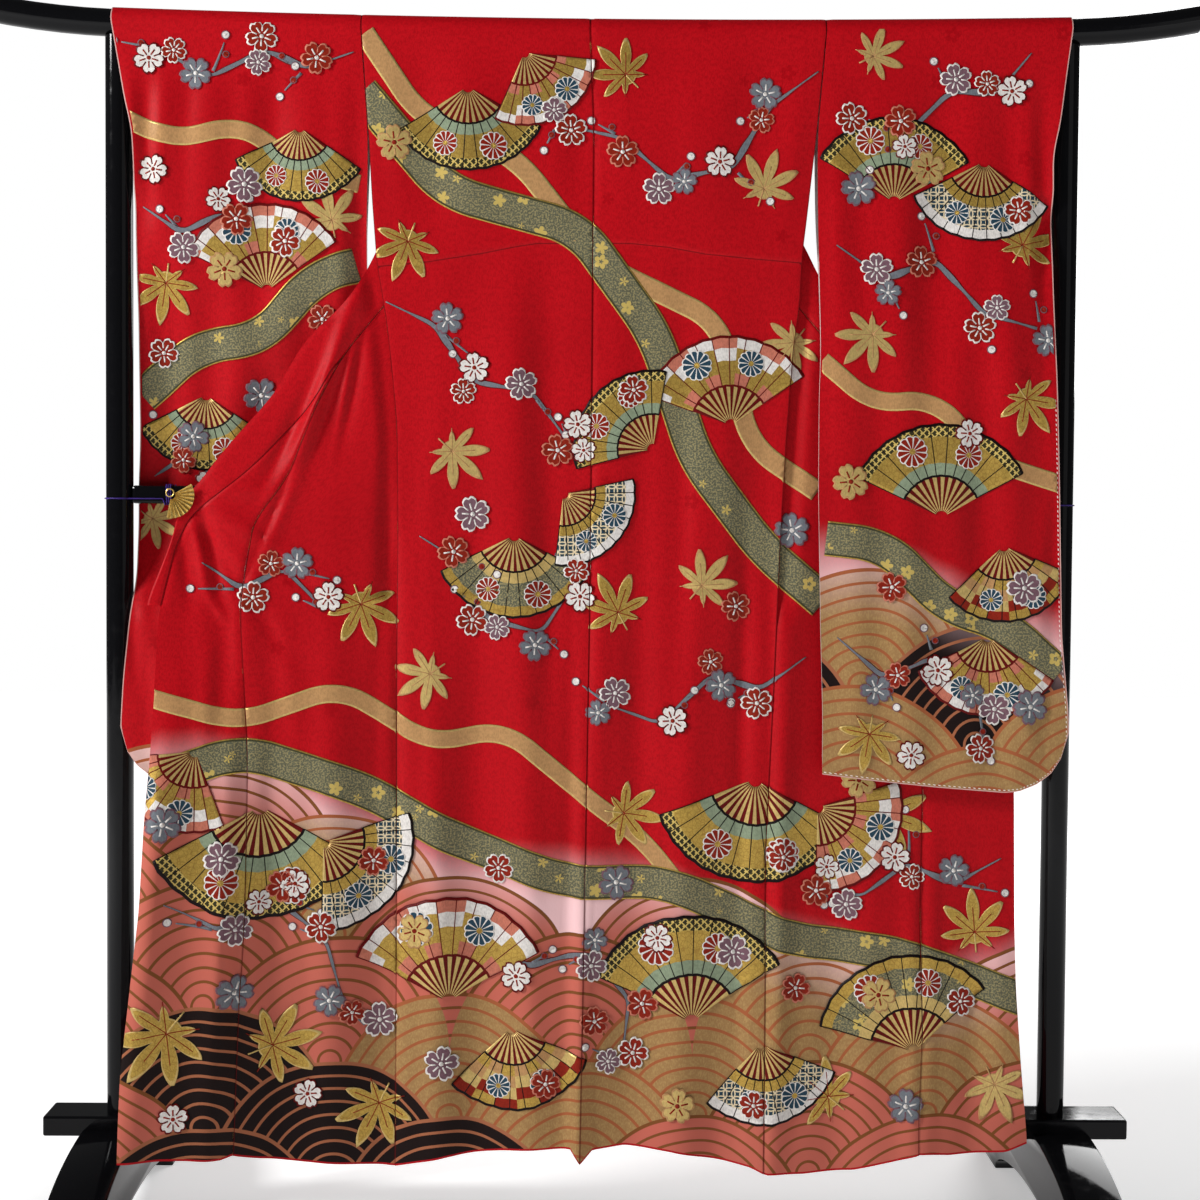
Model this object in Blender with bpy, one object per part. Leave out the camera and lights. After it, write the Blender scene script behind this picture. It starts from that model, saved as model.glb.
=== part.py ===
"""Furisode, a long-sleeved silk kimono, hung by its sleeves on a lacquered stand.

Units are metres, +Z is up and -Y is the side that shows the garment's back. The origin lies on the floor
under the middle of the stand. Left and right are those of someone who faces the back of the garment.
"""
import math

import bmesh
import bpy
import numpy as np

CLOTH = 0.0018          # wall of the lined silk
SEAM_GAP = 0.0004       # between two pieces that meet at a seam
GAP = 0.0003            # between the stand's pieces

POST_X = 0.683          # axis of each post
ROUND = 0.0195          # radius of the rod and of the posts
ROD_AXIS = 1.7315       # height of the rod's axis over the posts
ROD_SAG = 0.009         # dip of the rod between the posts
ROD_HALF = 0.876
ROD_LIFT = 0.016        # rise of the upturned ends
PLANK_TOP = 0.154
PLANK_THICK = 0.029
PLANK_DEPTH = 0.076
PLANK_HALF = 0.788
RAIL_Z = 1.055
RAIL_THICK = 0.026
FOOT_HALF = 0.34
FOOT_WIDTH = 0.0815
FOOT_X = 0.6908
FOOT_TOP = 0.134        # crown of the arched foot
FOOT_ARCH = 0.046       # height of the hollow below it
FOOT_PAD = 0.115        # length of the flat end on the floor

CLIP_X = -0.601         # pivot of the clip's fan
CLIP_Z = 1.054
CORD = 0.0011

WRAP = ROUND + 0.0005 + CLOTH / 2   # radius of the cloth's middle layer on the rod
ARC = WRAP * math.pi / 2            # run of the cloth from the rod's crown to its side
ON_ROD = 4                          # rows of points on that run

FOLD_PART = 0.0042      # between the two layers of the turned front
FRONT_WIDTH = 0.235
FRONT_TOP = 1.672       # the front, the shoulder run and the collar share rows of points from here
ROW = 0.0554            # down to the collar's end, this far apart
COLLAR_END = FRONT_TOP - 14 * ROW
OPEN_Z = FRONT_TOP - 13 * ROW       # below this height the front opens straight out from the side seam

# Depth of the hanging back at each height.
DEPTH = {
    "z": (0.05, 0.17, 0.30, 0.70, 1.10, 1.40, 1.60, 1.73),
    "y": (-0.055, -0.053, -0.048, -0.035, -0.0285, -0.0250, -0.0225, -0.0208),
}

# Depth of the hidden upper front near the shoulder.
FAR_DEPTH = {
    "z": (1.36, 1.44, 1.57, 1.73),
    "y": (-0.020, 0.001, 0.0155, 0.0209),
}

# The sleeves' back layers, and their front layers, at each height.
SLEEVE_DEPTH = {
    "left": {
        "z": (0.60, 0.88, 0.94, 1.01, 1.11, 1.17, 1.30, 1.38, 1.44, 1.57, 1.73),
        "back": (-0.030, -0.030, 0.004, 0.0205, 0.0205, 0.014, 0.001, -0.007, -0.013, -0.0225, -0.0209),
        "front": (-0.0225, -0.0225, 0.0115, 0.028, 0.028, 0.0215, 0.0085, 0.0005, 0.001, 0.0195, 0.0209),
    },
    "right": {
        "z": (0.63, 0.80, 1.05, 1.25, 1.34, 1.38, 1.45, 1.57, 1.60, 1.73),
        "back": (-0.0665, -0.0625, -0.0575, -0.0510, -0.0425, -0.0385, -0.0325, -0.0235, -0.0225, -0.0209),
        "front": (-0.0590, -0.0550, -0.0500, -0.0435, -0.0300, -0.0245, 0.0010, 0.0195, 0.0205, 0.0209),
    },
}

# Outer and inner edges of the sleeves, measured outwards from the garment's centre line.
SLEEVE_EDGE = {
    "left": {
        "z": (0.72, 0.79, 0.87, 0.93, 1.01, 1.07, 1.15, 1.31, 1.43, 1.54, 1.58, 1.615, 1.654, 1.75),
        "outer": (0.677, 0.673, 0.665, 0.660, 0.6605, 0.6605, 0.657, 0.656, 0.658, 0.659, 0.6605, 0.670,
                  0.677, 0.694),
        "inner": (0.330, 0.330, 0.329, 0.328, 0.327, 0.326, 0.326, 0.3255, 0.3262, 0.3235, 0.3240, 0.3265,
                  0.3295, 0.3365),
    },
    "right": {
        "z": (0.745, 0.86, 1.066, 1.20, 1.27, 1.36, 1.43, 1.483, 1.554, 1.592, 1.75),
        "outer": (0.687, 0.676, 0.671, 0.667, 0.664, 0.661, 0.6605, 0.6605, 0.6605, 0.6695, 0.690),
        "inner": (0.334, 0.330, 0.325, 0.325, 0.327, 0.325, 0.323, 0.322, 0.3215, 0.3225, 0.3358),
    },
}

# The sleeves' lower edge, by share of the width from the inner edge to the outer one.
SLEEVE_HEM = {
    "share": (0.0, 0.21, 0.47, 0.74, 0.80, 0.87, 0.93, 0.97, 1.0),
    "left": (0.661, 0.652, 0.643, 0.636, 0.638, 0.648, 0.664, 0.684, 0.720),
    "right": (0.661, 0.652, 0.643, 0.636, 0.638, 0.648, 0.664, 0.686, 0.722),
}

# Seams of the body at each height, measured outwards: side is the armhole edge and then the side seam,
# seam is where the front meets the collar and then the overlap panel, edge is the outermost edge.
BODY = {
    "left": {
        "emerge": 1.46,
        "side": {
            "z": (0.09, 0.44, 0.79, 1.01, 1.16, 1.25, 1.31, 1.387, 1.48, 1.567, 1.75),
            "x": (0.277, 0.277, 0.279, 0.278, 0.280, 0.289, 0.296, 0.3095, 0.317, 0.322, 0.3355),
        },
        "seam": {
            "z": (0.11, 0.31, 0.45, 0.56, 0.69, 0.89, 0.93, 0.96, 1.025, 1.04, 1.09, 1.13, 1.19, 1.255,
                  1.378, 1.74),
            "x": (0.501, 0.496, 0.489, 0.488, 0.489, 0.502, 0.498, 0.493, 0.481, 0.464, 0.431, 0.416, 0.391,
                  0.358, 0.260, 0.095),
        },
        "collar": {
            "z": (0.88, 0.94, 0.99, 1.03, 1.06, 1.10, 1.19, 1.255, 1.378, 1.68),
            "x": (0.617, 0.604, 0.592, 0.572, 0.530, 0.482, 0.399, 0.362, 0.2645, 0.127),
        },
        "edge": {
            "z": (0.90, 0.94, 0.99, 1.047, 1.064, 1.116, 1.176, 1.191, 1.279, 1.335, 1.379, 1.68),
            "x": (0.634, 0.618, 0.600, 0.589, 0.569, 0.530, 0.478, 0.462, 0.411, 0.351, 0.324, 0.187),
        },
        "front_edge": {
            "z": (0.115, 0.25, 0.34, 0.47, 0.60, 0.69, 0.79, 0.88, 0.90),
            "x": (0.655, 0.651, 0.642, 0.630, 0.627, 0.622, 0.619, 0.6165, 0.6122),
        },
    },
    "right": {
        "emerge": 1.37,
        "side": {
            "z": (0.08, 0.35, 0.54, 0.77, 0.99, 1.13, 1.27, 1.333, 1.406, 1.456, 1.577, 1.75),
            "x": (0.255, 0.256, 0.255, 0.265, 0.273, 0.280, 0.289, 0.298, 0.301, 0.307, 0.320, 0.3348),
        },
        "seam": {
            "z": (0.11, 0.17, 0.28, 0.44, 0.64, 0.80, 0.93, 1.025, 1.09, 1.13, 1.19, 1.255, 1.378, 1.74),
            "x": (0.480, 0.480, 0.484, 0.480, 0.482, 0.484, 0.486, 0.474, 0.436, 0.418, 0.391, 0.358, 0.260,
                  0.095),
        },
        "collar": {
            "z": (0.88, 0.94, 0.99, 1.03, 1.06, 1.10, 1.19, 1.255, 1.378, 1.68),
            "x": (0.606, 0.598, 0.588, 0.570, 0.530, 0.482, 0.399, 0.362, 0.2645, 0.127),
        },
        "edge": {
            "z": (0.90, 0.94, 0.99, 1.047, 1.064, 1.116, 1.176, 1.191, 1.279, 1.335, 1.379, 1.68),
            "x": (0.624, 0.614, 0.600, 0.589, 0.569, 0.530, 0.478, 0.462, 0.411, 0.351, 0.324, 0.187),
        },
        "front_edge": {
            "z": (0.125, 0.24, 0.35, 0.44, 0.63, 0.76, 0.88, 0.90),
            "x": (0.638, 0.628, 0.620, 0.617, 0.615, 0.611, 0.6052, 0.6022),
        },
    },
}

# The centre back seam leans a little. The hem's height and the waist tuck's height run from left to right.
CENTRE = {
    "z": (0.095, 0.33, 0.62, 0.91, 1.58, 1.74),
    "x": (-0.010, -0.007, -0.004, -0.001, 0.000, -0.007),
}
HEM = {
    "x": (-0.655, -0.599, -0.517, -0.502, -0.465, -0.407, -0.340, -0.277, -0.203, -0.121, -0.024, -0.010,
          0.008, 0.054, 0.119, 0.183, 0.237, 0.258, 0.312, 0.386, 0.441, 0.483, 0.525, 0.608, 0.638),
    "z": (0.1210, 0.122, 0.117, 0.120, 0.110, 0.102, 0.094, 0.088, 0.103, 0.112, 0.116, 0.095,
          0.113, 0.119, 0.113, 0.100, 0.089, 0.080, 0.079, 0.084, 0.097, 0.109, 0.107, 0.112, 0.125),
}
TUCK = {
    "x": (-0.309, -0.239, -0.158, -0.115, -0.080, 0.055, 0.109, 0.161, 0.226, 0.319),
    "z": (1.387, 1.394, 1.407, 1.416, 1.422, 1.423, 1.418, 1.409, 1.403, 1.396),
}
TUCK_STEP = 0.0012      # the tuck is raised by this over the cloth below it

# Each fold runs from a high point to a low one. rise is towards the viewer, at the middle of the run and
# at its low end; width is the half-width of the ridge or trough at its high and low ends.
FOLDS = {
    "x_high": (-0.335, -0.318, -0.560, -0.570, -0.545, -0.500, -0.455, -0.375, -0.300, -0.245, -0.165, -0.100,
               -0.004, 0.075, 0.150, 0.235, 0.292, 0.375, 0.483, 0.555),
    "z_high": (1.36, 1.37, 1.13, 1.03, 1.02, 0.95, 1.02, 1.12, 1.10, 1.25, 1.05, 1.30,
               0.85, 1.10, 1.28, 1.20, 1.10, 0.80, 0.60, 0.55),
    "x_low": (-0.436, -0.366, -0.600, -0.645, -0.500, -0.535, -0.455, -0.365, -0.292, -0.215, -0.160, -0.080,
              -0.013, 0.060, 0.130, 0.190, 0.262, 0.360, 0.476, 0.560),
    "z_low": (1.06, 1.10, 0.62, 0.116, 0.60, 0.116, 0.110, 0.097, 0.089, 0.100, 0.107, 0.114,
              0.095, 0.118, 0.112, 0.099, 0.080, 0.082, 0.106, 0.110),
    "width_high": (0.012, 0.010, 0.022, 0.020, 0.022, 0.020, 0.024, 0.028, 0.016, 0.020, 0.026, 0.026,
                   0.010, 0.024, 0.024, 0.026, 0.018, 0.026, 0.018, 0.026),
    "width_low": (0.020, 0.016, 0.026, 0.024, 0.030, 0.022, 0.030, 0.034, 0.022, 0.030, 0.034, 0.030,
                  0.014, 0.034, 0.034, 0.030, 0.026, 0.036, 0.022, 0.030),
    "rise_mid": (0.013, -0.005, -0.009, 0.006, -0.009, 0.004, -0.004, 0.004, -0.004, 0.004, -0.003, 0.003,
                 0.002, -0.003, 0.004, -0.003, 0.004, -0.003, 0.003, -0.003),
    "rise_low": (0.0, 0.0, 0.0, 0.009, 0.0, 0.009, -0.008, 0.010, -0.006, 0.009, -0.008, 0.007,
                 0.014, -0.007, 0.009, -0.007, 0.010, -0.008, 0.007, -0.006),
}


def clear_scene():
    for item in list(bpy.data.objects):
        bpy.data.objects.remove(item, do_unlink=True)


def smooth(t):
    t = min(1.0, max(0.0, t))
    return t * t * (3.0 - 2.0 * t)


def mix(a, b, t):
    return a + (b - a) * t


def read(table, key, at, by="z"):
    """The column's value between its rows."""
    return float(np.interp(at, table[by], table[key]))


def rod_height(x):
    """Height of the rod's axis: it sags between the posts and turns up at its ends."""
    out = (abs(x) - POST_X) / (ROD_HALF - POST_X)
    if out <= 0.0:
        return ROD_AXIS - ROD_SAG * (1.0 - (x / POST_X) ** 2)
    slope = 2.0 * ROD_SAG / POST_X
    return ROD_AXIS + slope * (abs(x) - POST_X) + ROD_LIFT * out * out


def fold_rise(x, z):
    """How far the folds push the cloth towards the viewer at this place."""
    total = 0.0
    for i, z_high in enumerate(FOLDS["z_high"]):
        run = (z_high - z) / (z_high - FOLDS["z_low"][i])
        if run <= 0.0 or (run > 1.0 and FOLDS["rise_low"][i] == 0.0):
            continue
        run = min(run, 1.0)
        rise = 4.0 * run * (1.0 - run) * FOLDS["rise_mid"][i] + smooth(run) * FOLDS["rise_low"][i]
        middle = mix(FOLDS["x_high"][i], FOLDS["x_low"][i], run)
        width = mix(FOLDS["width_high"][i], FOLDS["width_low"][i], run)
        total += rise * math.exp(-(((x - middle) / width) ** 2))
    return total


def skirt_depth(x, z):
    """Depth of the hanging body: folds, and the left front leaning forward over the stand's foot."""
    lean = 0.095 * smooth((-0.30 - x) / 0.36) * smooth((1.25 - z) / 1.10)
    return read(DEPTH, "y", z) - lean - fold_rise(x, z)


def material(name, colour, roughness, metallic=0.0):
    made = bpy.data.materials.new(name)
    made.use_nodes = True
    shader = made.node_tree.nodes["Principled BSDF"]
    shader.inputs["Base Color"].default_value = (*colour, 1.0)
    shader.inputs["Roughness"].default_value = roughness
    shader.inputs["Metallic"].default_value = metallic
    return made


def add_object(name, bm, finish, sharp=40.0):
    """Turns a bmesh into a named object, shaded smooth with its sharp edges kept."""
    mesh = bpy.data.meshes.new(name)
    bm.to_mesh(mesh)
    bm.free()
    mesh.materials.append(finish)
    mesh.shade_smooth()
    mesh.set_sharp_from_angle(angle=math.radians(sharp))
    made = bpy.data.objects.new(name, mesh)
    bpy.context.scene.collection.objects.link(made)
    return made


def sheet(name, columns, rows, place, finish, wall=CLOTH):
    """A wall of cloth. It starts as a flat slab of columns and rows; place(across, down, layer) gives each
    of its points, where layer is the distance from the wall's middle, positive towards the viewer."""
    bm = bmesh.new()
    bmesh.ops.create_grid(bm, x_segments=columns, y_segments=rows, size=0.5)
    swept = bmesh.ops.extrude_face_region(bm, geom=bm.faces[:])
    moved = [item for item in swept["geom"] if isinstance(item, bmesh.types.BMVert)]
    bmesh.ops.translate(bm, verts=moved, vec=(0.0, 0.0, 1.0))
    bmesh.ops.recalc_face_normals(bm, faces=bm.faces)
    for point in bm.verts:
        across = round((point.co.x + 0.5) * columns) / columns
        down = round((0.5 - point.co.y) * rows) / rows
        point.co = place(across, down, wall * (round(point.co.z) - 0.5))
    if bm.calc_volume(signed=True) < 0.0:
        bmesh.ops.reverse_faces(bm, faces=bm.faces)
    return add_object(name, bm, finish)


def hang(x, depth, z, layer):
    """A point of cloth that hangs at this depth."""
    return x, depth - layer, z


def over_rod(x, run, side, layer):
    """A point of the cloth that lies on the rod, at this run from the crown; side is -1 in front."""
    angle = run / WRAP
    radius = WRAP - side * layer
    return x, side * radius * math.sin(angle), rod_height(x) + radius * math.cos(angle)


def rod_run(share):
    """Run from the crown for this share of the rows on the rod; two pieces meet on the crown in a seam."""
    return mix(SEAM_GAP / 2, ARC, share)


def back_panel(name, sign, finish):
    """Half of the back, from the rod's near side to the hem, with a row on each edge of the waist tuck."""
    body = BODY["left" if sign < 0 else "right"]
    rows = 23
    above, below = 6 / rows, 7 / rows

    def place(across, down, layer):
        z = 1.74
        for _ in range(4):
            side = sign * read(body["side"], "x", z)
            seam = read(CENTRE, "x", z) + sign * SEAM_GAP / 2
            x = mix(side, seam, across)
            top, tuck, hem = rod_height(x) - SEAM_GAP, read(TUCK, "z", x, "x"), read(HEM, "z", x, "x")
            if down <= above:
                z = mix(top, tuck, down / above)
            elif down <= below:
                z = mix(tuck, tuck - 0.004, (down - above) / (below - above))
            else:
                z = mix(tuck - 0.004, hem, (down - below) / (1.0 - below))
        step = TUCK_STEP * smooth((z - (tuck - 0.004)) / 0.004) * smooth((tuck + 0.10 - z) / 0.10)
        return hang(x, skirt_depth(x, z) - step, z, layer)

    return sheet(name, 12, rows, place, finish)


def back_top(name, sign, finish):
    """The top of the back: it lies on the rod, from the shoulder fold to where the back hangs free."""
    body = BODY["left" if sign < 0 else "right"]

    def place(across, down, layer):
        side = sign * read(body["side"], "x", 1.74)
        seam = read(CENTRE, "x", 1.74) + sign * SEAM_GAP / 2
        return over_rod(mix(side, seam, across), rod_run(down), -1.0, layer)

    return sheet(name, 12, ON_ROD, place, finish)


def between_rows(value, z):
    """The value of a function of height on the straight line between the two rows about this height."""
    level = (FRONT_TOP - z) / ROW
    first = math.floor(level + 1e-6)
    above = FRONT_TOP - first * ROW
    return mix(value(above), value(above - ROW), level - first)


def seam_x(body, z):
    """Where the front ends outwards, at the seam with the collar or with the overlap panel."""
    if z < COLLAR_END:
        return read(body["seam"], "x", z)
    return between_rows(lambda height: read(body["seam"], "x", height), z)


def turned(body, z):
    """How much of the front lies turned back behind the side seam at this height."""
    side = read(body["side"], "x", z)
    return max(0.0, (side - seam_x(body, z) + FRONT_WIDTH) / 2.0) * smooth((z - OPEN_Z) / 0.05)


def behind(x, z, layers):
    """Depth of a layer of the front, counted in layers behind the back panel."""

    def depth(height):
        hung = skirt_depth(x, height) + CLOTH + 0.0012
        return mix(hung, read(FAR_DEPTH, "y", height), smooth((height - 1.385) / 0.075))

    return between_rows(depth, z) + (layers - 1) * FOLD_PART


def drawn_depth(body, x, z):
    """Depth of the front where it is drawn outwards: behind the back, and level with it beyond the seam."""
    beyond = smooth((abs(x) - read(body["side"], "x", z) - 0.014) / 0.020)
    beyond *= smooth((body["emerge"] - z) / 0.08)
    covered = smooth((z - OPEN_Z + 0.09) / 0.06)
    return mix(skirt_depth(x, z), behind(x, z, 2), covered * (1.0 - beyond))


def shoulder_panel(name, sign, finish):
    """The hidden upper front: from the shoulder fold on the rod down to where it turns outwards."""
    body = BODY["left" if sign < 0 else "right"]
    rows = ON_ROD + 1 + 12

    def place(across, down, layer):
        row = round(down * rows)
        z = FRONT_TOP - (row - ON_ROD - 1) * ROW
        z = min(z, ROD_AXIS)
        side = read(body["side"], "x", z)
        x = sign * mix(side, side - turned(body, z) + 0.0006, across)
        if row <= ON_ROD:
            return over_rod(x, rod_run(row / ON_ROD), 1.0, layer)
        return hang(x, behind(x, z, 1), z, layer)

    return sheet(name, 5, rows, place, finish)


def row_height(row, rows, first, x):
    """Height of a row of points: shared rows down to the collar's end, then an even share to the hem."""
    shared = 14 - first
    if row <= shared:
        return FRONT_TOP - (first + row) * ROW
    return mix(COLLAR_END, read(HEM, "z", x, "x"), (row - shared) / (rows - shared))


def front_panel(name, sign, finish):
    """The front from its hidden fold, out past the side seam, to the collar and the overlap panel."""
    body = BODY["left" if sign < 0 else "right"]
    rows = 27

    def place(across, down, layer):
        row = round(down * rows)
        z = 0.5
        for _ in range(4):
            inner = read(body["side"], "x", z) + 2.5 * SEAM_GAP - turned(body, z)
            x = sign * mix(inner, seam_x(body, z) - SEAM_GAP / 2, across)
            z = row_height(row, rows, 0, x)
        return hang(x, drawn_depth(body, x, z), z, layer)

    return sheet(name, 12, rows, place, finish)


def overlap_panel(name, sign, finish):
    """The okumi: a point under the collar that widens to the front edge and runs to the hem."""
    body = BODY["left" if sign < 0 else "right"]
    first, shared, rows = 8, 12, 25

    def place(across, down, layer):
        row = round(down * rows)
        z = 0.5
        for _ in range(4):
            outer = body["collar"] if row <= shared else body["front_edge"]
            x = sign * mix(seam_x(body, z) + SEAM_GAP / 2, read(outer, "x", z) - SEAM_GAP / 2, across)
            if row <= shared:
                z = FRONT_TOP - (first + row / 2) * ROW
            else:
                z = mix(COLLAR_END, read(HEM, "z", x, "x"), (row - shared) / (rows - shared))
        return hang(x, drawn_depth(body, x, z), z, layer)

    return sheet(name, 5, rows, place, finish)


def collar_band(name, sign, finish):
    """The collar from the neck's corner, behind the back, out to the clip and down to its end."""
    body = BODY["left" if sign < 0 else "right"]

    def place(across, down, layer):
        z = max(FRONT_TOP - 14 * ROW * down, COLLAR_END + GAP)
        inner = read(body["collar"], "x", z) + SEAM_GAP / 2
        outer = max(read(body["edge"], "x", z), inner + 0.004)
        x = sign * mix(inner, outer, across)
        return hang(x, drawn_depth(body, x, z), z, layer)

    return sheet(name, 3, 28, place, finish)


def neck_band(name, finish):
    """The collar at the back of the neck: it lies over the far side of the rod and hangs behind it."""
    half, low = 0.0940, 1.674

    def place(across, down, layer):
        spread = half + 0.002 * down
        x = mix(-spread, spread, across)
        if down <= 0.5:
            return over_rod(x, rod_run(0.25 + 1.5 * down), 1.0, layer)
        share = (down - 0.5) * 2.0
        bottom = low + 0.006 * math.cos(2.0 * math.pi * across)
        return hang(x, WRAP + 0.004 * share, mix(rod_height(x), bottom, share), layer)

    return sheet(name, 8, 6, place, finish)


def sleeve_layer(name, sign, side_of_rod, finish):
    """One layer of a sleeve: it leaves the rod, and below the cuff it closes on the other layer."""
    side = "left" if sign < 0 else "right"
    edge, depth = SLEEVE_EDGE[side], SLEEVE_DEPTH[side]
    rows = 21
    on_rod = ON_ROD / rows

    def place(across, down, layer):
        share = 1.0 - (1.0 - across) ** 1.5
        low = read(SLEEVE_HEM, side, share, "share")
        z = 1.74
        for _ in range(3):
            outer = read(edge, "outer", z)
            out = mix(read(edge, "inner", z), outer, share)
            x = sign * out
            if down <= on_rod:
                return over_rod(x, rod_run(down / on_rod), side_of_rod, layer)
            z = mix(rod_height(x), low, (down - on_rod) / (1.0 - on_rod))
        near, far = read(depth, "back", z), read(depth, "front", z)
        closed = (1.0 - smooth((outer - out) / 0.045)) * smooth((1.505 - z) / 0.05)
        closed = max(closed, 1.0 - smooth((z - low) / 0.03))
        half = mix((far - near) / 2.0, CLOTH / 2.0 + SEAM_GAP, closed)
        wave = 0.0025 * math.sin(9.0 * math.pi * share + 1.0) * smooth((1.60 - z) / 0.4) * (1.0 - closed)
        return hang(x, (near + far) / 2.0 + side_of_rod * half + wave, z, layer)

    return sheet(name, 8, rows, place, finish)


def tube(name, points, radius, finish, sides=3, closed=False, ends=1.0):
    """A round bar or cord along the points, with filled ends; ends is the share of its radius left there."""
    curve = bpy.data.curves.new(name, "CURVE")
    curve.dimensions = "3D"
    curve.bevel_depth = radius
    curve.bevel_resolution = sides
    curve.use_fill_caps = not closed
    line = curve.splines.new("POLY")
    line.points.add(len(points) - 1)
    for point, place in zip(line.points, points):
        point.co = (*place, 1.0)
    line.use_cyclic_u = closed
    if not closed:
        line.points[0].radius = ends
        line.points[-1].radius = ends
    curve.materials.append(finish)
    made = bpy.data.objects.new(name, curve)
    bpy.context.scene.collection.objects.link(made)
    return made


def rod(finish):
    """The top rod: straight stations between the posts, closer ones along the upturned ends."""
    tip = 0.004
    inner = [mix(-POST_X, POST_X, i / 10) for i in range(11)]
    outer = [POST_X + (ROD_HALF - POST_X - tip) * i / 5 for i in range(1, 6)]
    stations = [-ROD_HALF] + [-x for x in reversed(outer)] + inner + outer + [ROD_HALF]
    return tube("rod", [(x, 0.0, rod_height(x)) for x in stations], ROUND, finish, 6, ends=0.75)


def post(name, x, finish):
    bm = bmesh.new()
    low, high = PLANK_TOP + GAP, rod_height(x) - ROUND - 3.0 * GAP
    bmesh.ops.create_cone(bm, cap_ends=True, segments=28, radius1=ROUND, radius2=ROUND, depth=high - low)
    bmesh.ops.translate(bm, verts=bm.verts, vec=(x, 0.0, (low + high) / 2))
    return add_object(name, bm, finish)


def board(name, size, middle, bevel, finish):
    """A board with softened edges."""
    bm = bmesh.new()
    bmesh.ops.create_cube(bm, size=1.0)
    bmesh.ops.scale(bm, vec=size, verts=bm.verts)
    bmesh.ops.translate(bm, vec=middle, verts=bm.verts)
    made = add_object(name, bm, finish, 25.0)
    soft = made.modifiers.new("soft edges", "BEVEL")
    soft.width = bevel
    soft.segments = 2
    return made


def foot_outline():
    """Side view of a foot as (y, z) points: an arch whose crown is notched for the plank."""
    steps = 9
    notch = PLANK_DEPTH / 2 + GAP
    notch_low = PLANK_TOP - PLANK_THICK - GAP
    arch_half = FOOT_HALF - FOOT_PAD
    start = math.asin(0.012 / FOOT_TOP)
    stop = math.acos(notch / FOOT_HALF)
    outer = [start + (stop - start) * i / steps for i in range(steps + 1)]
    top = [(FOOT_HALF * math.cos(a), FOOT_TOP * math.sin(a)) for a in outer]
    hollow = [(arch_half * math.cos(math.pi * i / 12), FOOT_ARCH * math.sin(math.pi * i / 12))
              for i in range(13)]
    right = [(FOOT_HALF - 0.004, 0.0)] + top + [(notch, notch_low)]
    left = [(-y, z) for y, z in reversed(right)]
    return right + left + list(reversed(hollow))


def foot(name, x, finish):
    bm = bmesh.new()
    corners = [bm.verts.new((x - FOOT_WIDTH / 2, y, z)) for y, z in foot_outline()]
    face = bm.faces.new(corners)
    swept = bmesh.ops.extrude_face_region(bm, geom=[face])
    moved = [item for item in swept["geom"] if isinstance(item, bmesh.types.BMVert)]
    bmesh.ops.translate(bm, verts=moved, vec=(FOOT_WIDTH, 0.0, 0.0))
    bmesh.ops.recalc_face_normals(bm, faces=bm.faces)
    return add_object(name, bm, finish, 30.0)


def ring(middle, radius, steps, plane="xy"):
    """Points of a circle about middle, in the plane named."""
    points = []
    for i in range(steps):
        a = 2.0 * math.pi * i / steps
        u, v = radius * math.cos(a), radius * math.sin(a)
        offset = {"xy": (u, v, 0.0), "xz": (u, 0.0, v), "yz": (0.0, u, v)}[plane]
        points.append(tuple(m + o for m, o in zip(middle, offset)))
    return points


def fan_point(reach, angle, depth, layer=0.0):
    return hang(CLIP_X + reach * math.cos(angle), depth, CLIP_Z + reach * math.sin(angle), layer)


def fan_depth(first, last, outer):
    """Depth at which the fan lies against the cloth below it."""
    found = []
    for i in range(9):
        for share in (0.2, 0.6, 1.0):
            x, _, z = fan_point(outer * share, mix(first, last, i / 8), 0.0)
            found.append(drawn_depth(BODY["left"], x, z))
    return min(found) - 2.0 * GAP


def fan(name, finish):
    """The clip's gold folding fan: a sector of radial pleats round the pivot."""
    first, last, inner, outer, pleats = math.radians(-101), math.radians(29), 0.006, 0.033, 11
    depth = fan_depth(first, last, outer)

    def place(across, down, layer):
        crease = 1.0 if round(across * 2 * pleats) % 2 else -1.0
        lift = crease * 0.0013 * (0.3 + 0.7 * down)
        return fan_point(mix(inner, outer, down), mix(first, last, across), depth + lift, layer)

    sheet(name, 2 * pleats, 3, place, finish, 0.001)
    return depth


def cord_loop(name, sign, finish):
    """A cord that goes round the post and along both faces of the rail, and closes below the rail."""
    clear = CORD + GAP
    height = RAIL_Z - 0.006
    inner_x = POST_X - 0.068
    face = RAIL_THICK / 2 + clear
    radius = ROUND + clear
    reach = math.asin(face / radius)
    turn = [mix(-reach, -2.0 * math.pi + reach, i / 14) for i in range(15)]
    points = [(inner_x, -face, RAIL_Z - face), (inner_x + 0.003, -face, height)]
    points += [(POST_X - radius * math.cos(a), radius * math.sin(a), height) for a in turn]
    points += [(inner_x + 0.003, face, height), (inner_x, face, RAIL_Z - face)]
    return tube(name, [(sign * x, y, z) for x, y, z in points], CORD, finish, 1, True)


def cord_wrap(name, first_x, turns, finish):
    """Turns of the cord round the rail, side by side."""
    half = RAIL_THICK / 2 + CORD + GAP
    corner = 0.003
    pitch = 2.0 * CORD + 0.0008
    points = []
    for step in range(4 * turns):
        sy, sz = ((-1, 1), (-1, -1), (1, -1), (1, 1))[step % 4]
        x = first_x + pitch * step / 4
        ahead = ((0, 1), (-1, 0), (0, -1), (1, 0))[step % 4]
        after = ((-1, 0), (0, -1), (1, 0), (0, 1))[step % 4]
        for way, shift in ((ahead, -0.03), (after, 0.03)):
            y = sy * half if way[0] else sy * (half - corner)
            z = sz * half if way[1] else sz * (half - corner)
            points.append((x + pitch * shift, y, RAIL_Z + z))
    return tube(name, points, CORD, finish, 1)


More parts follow.
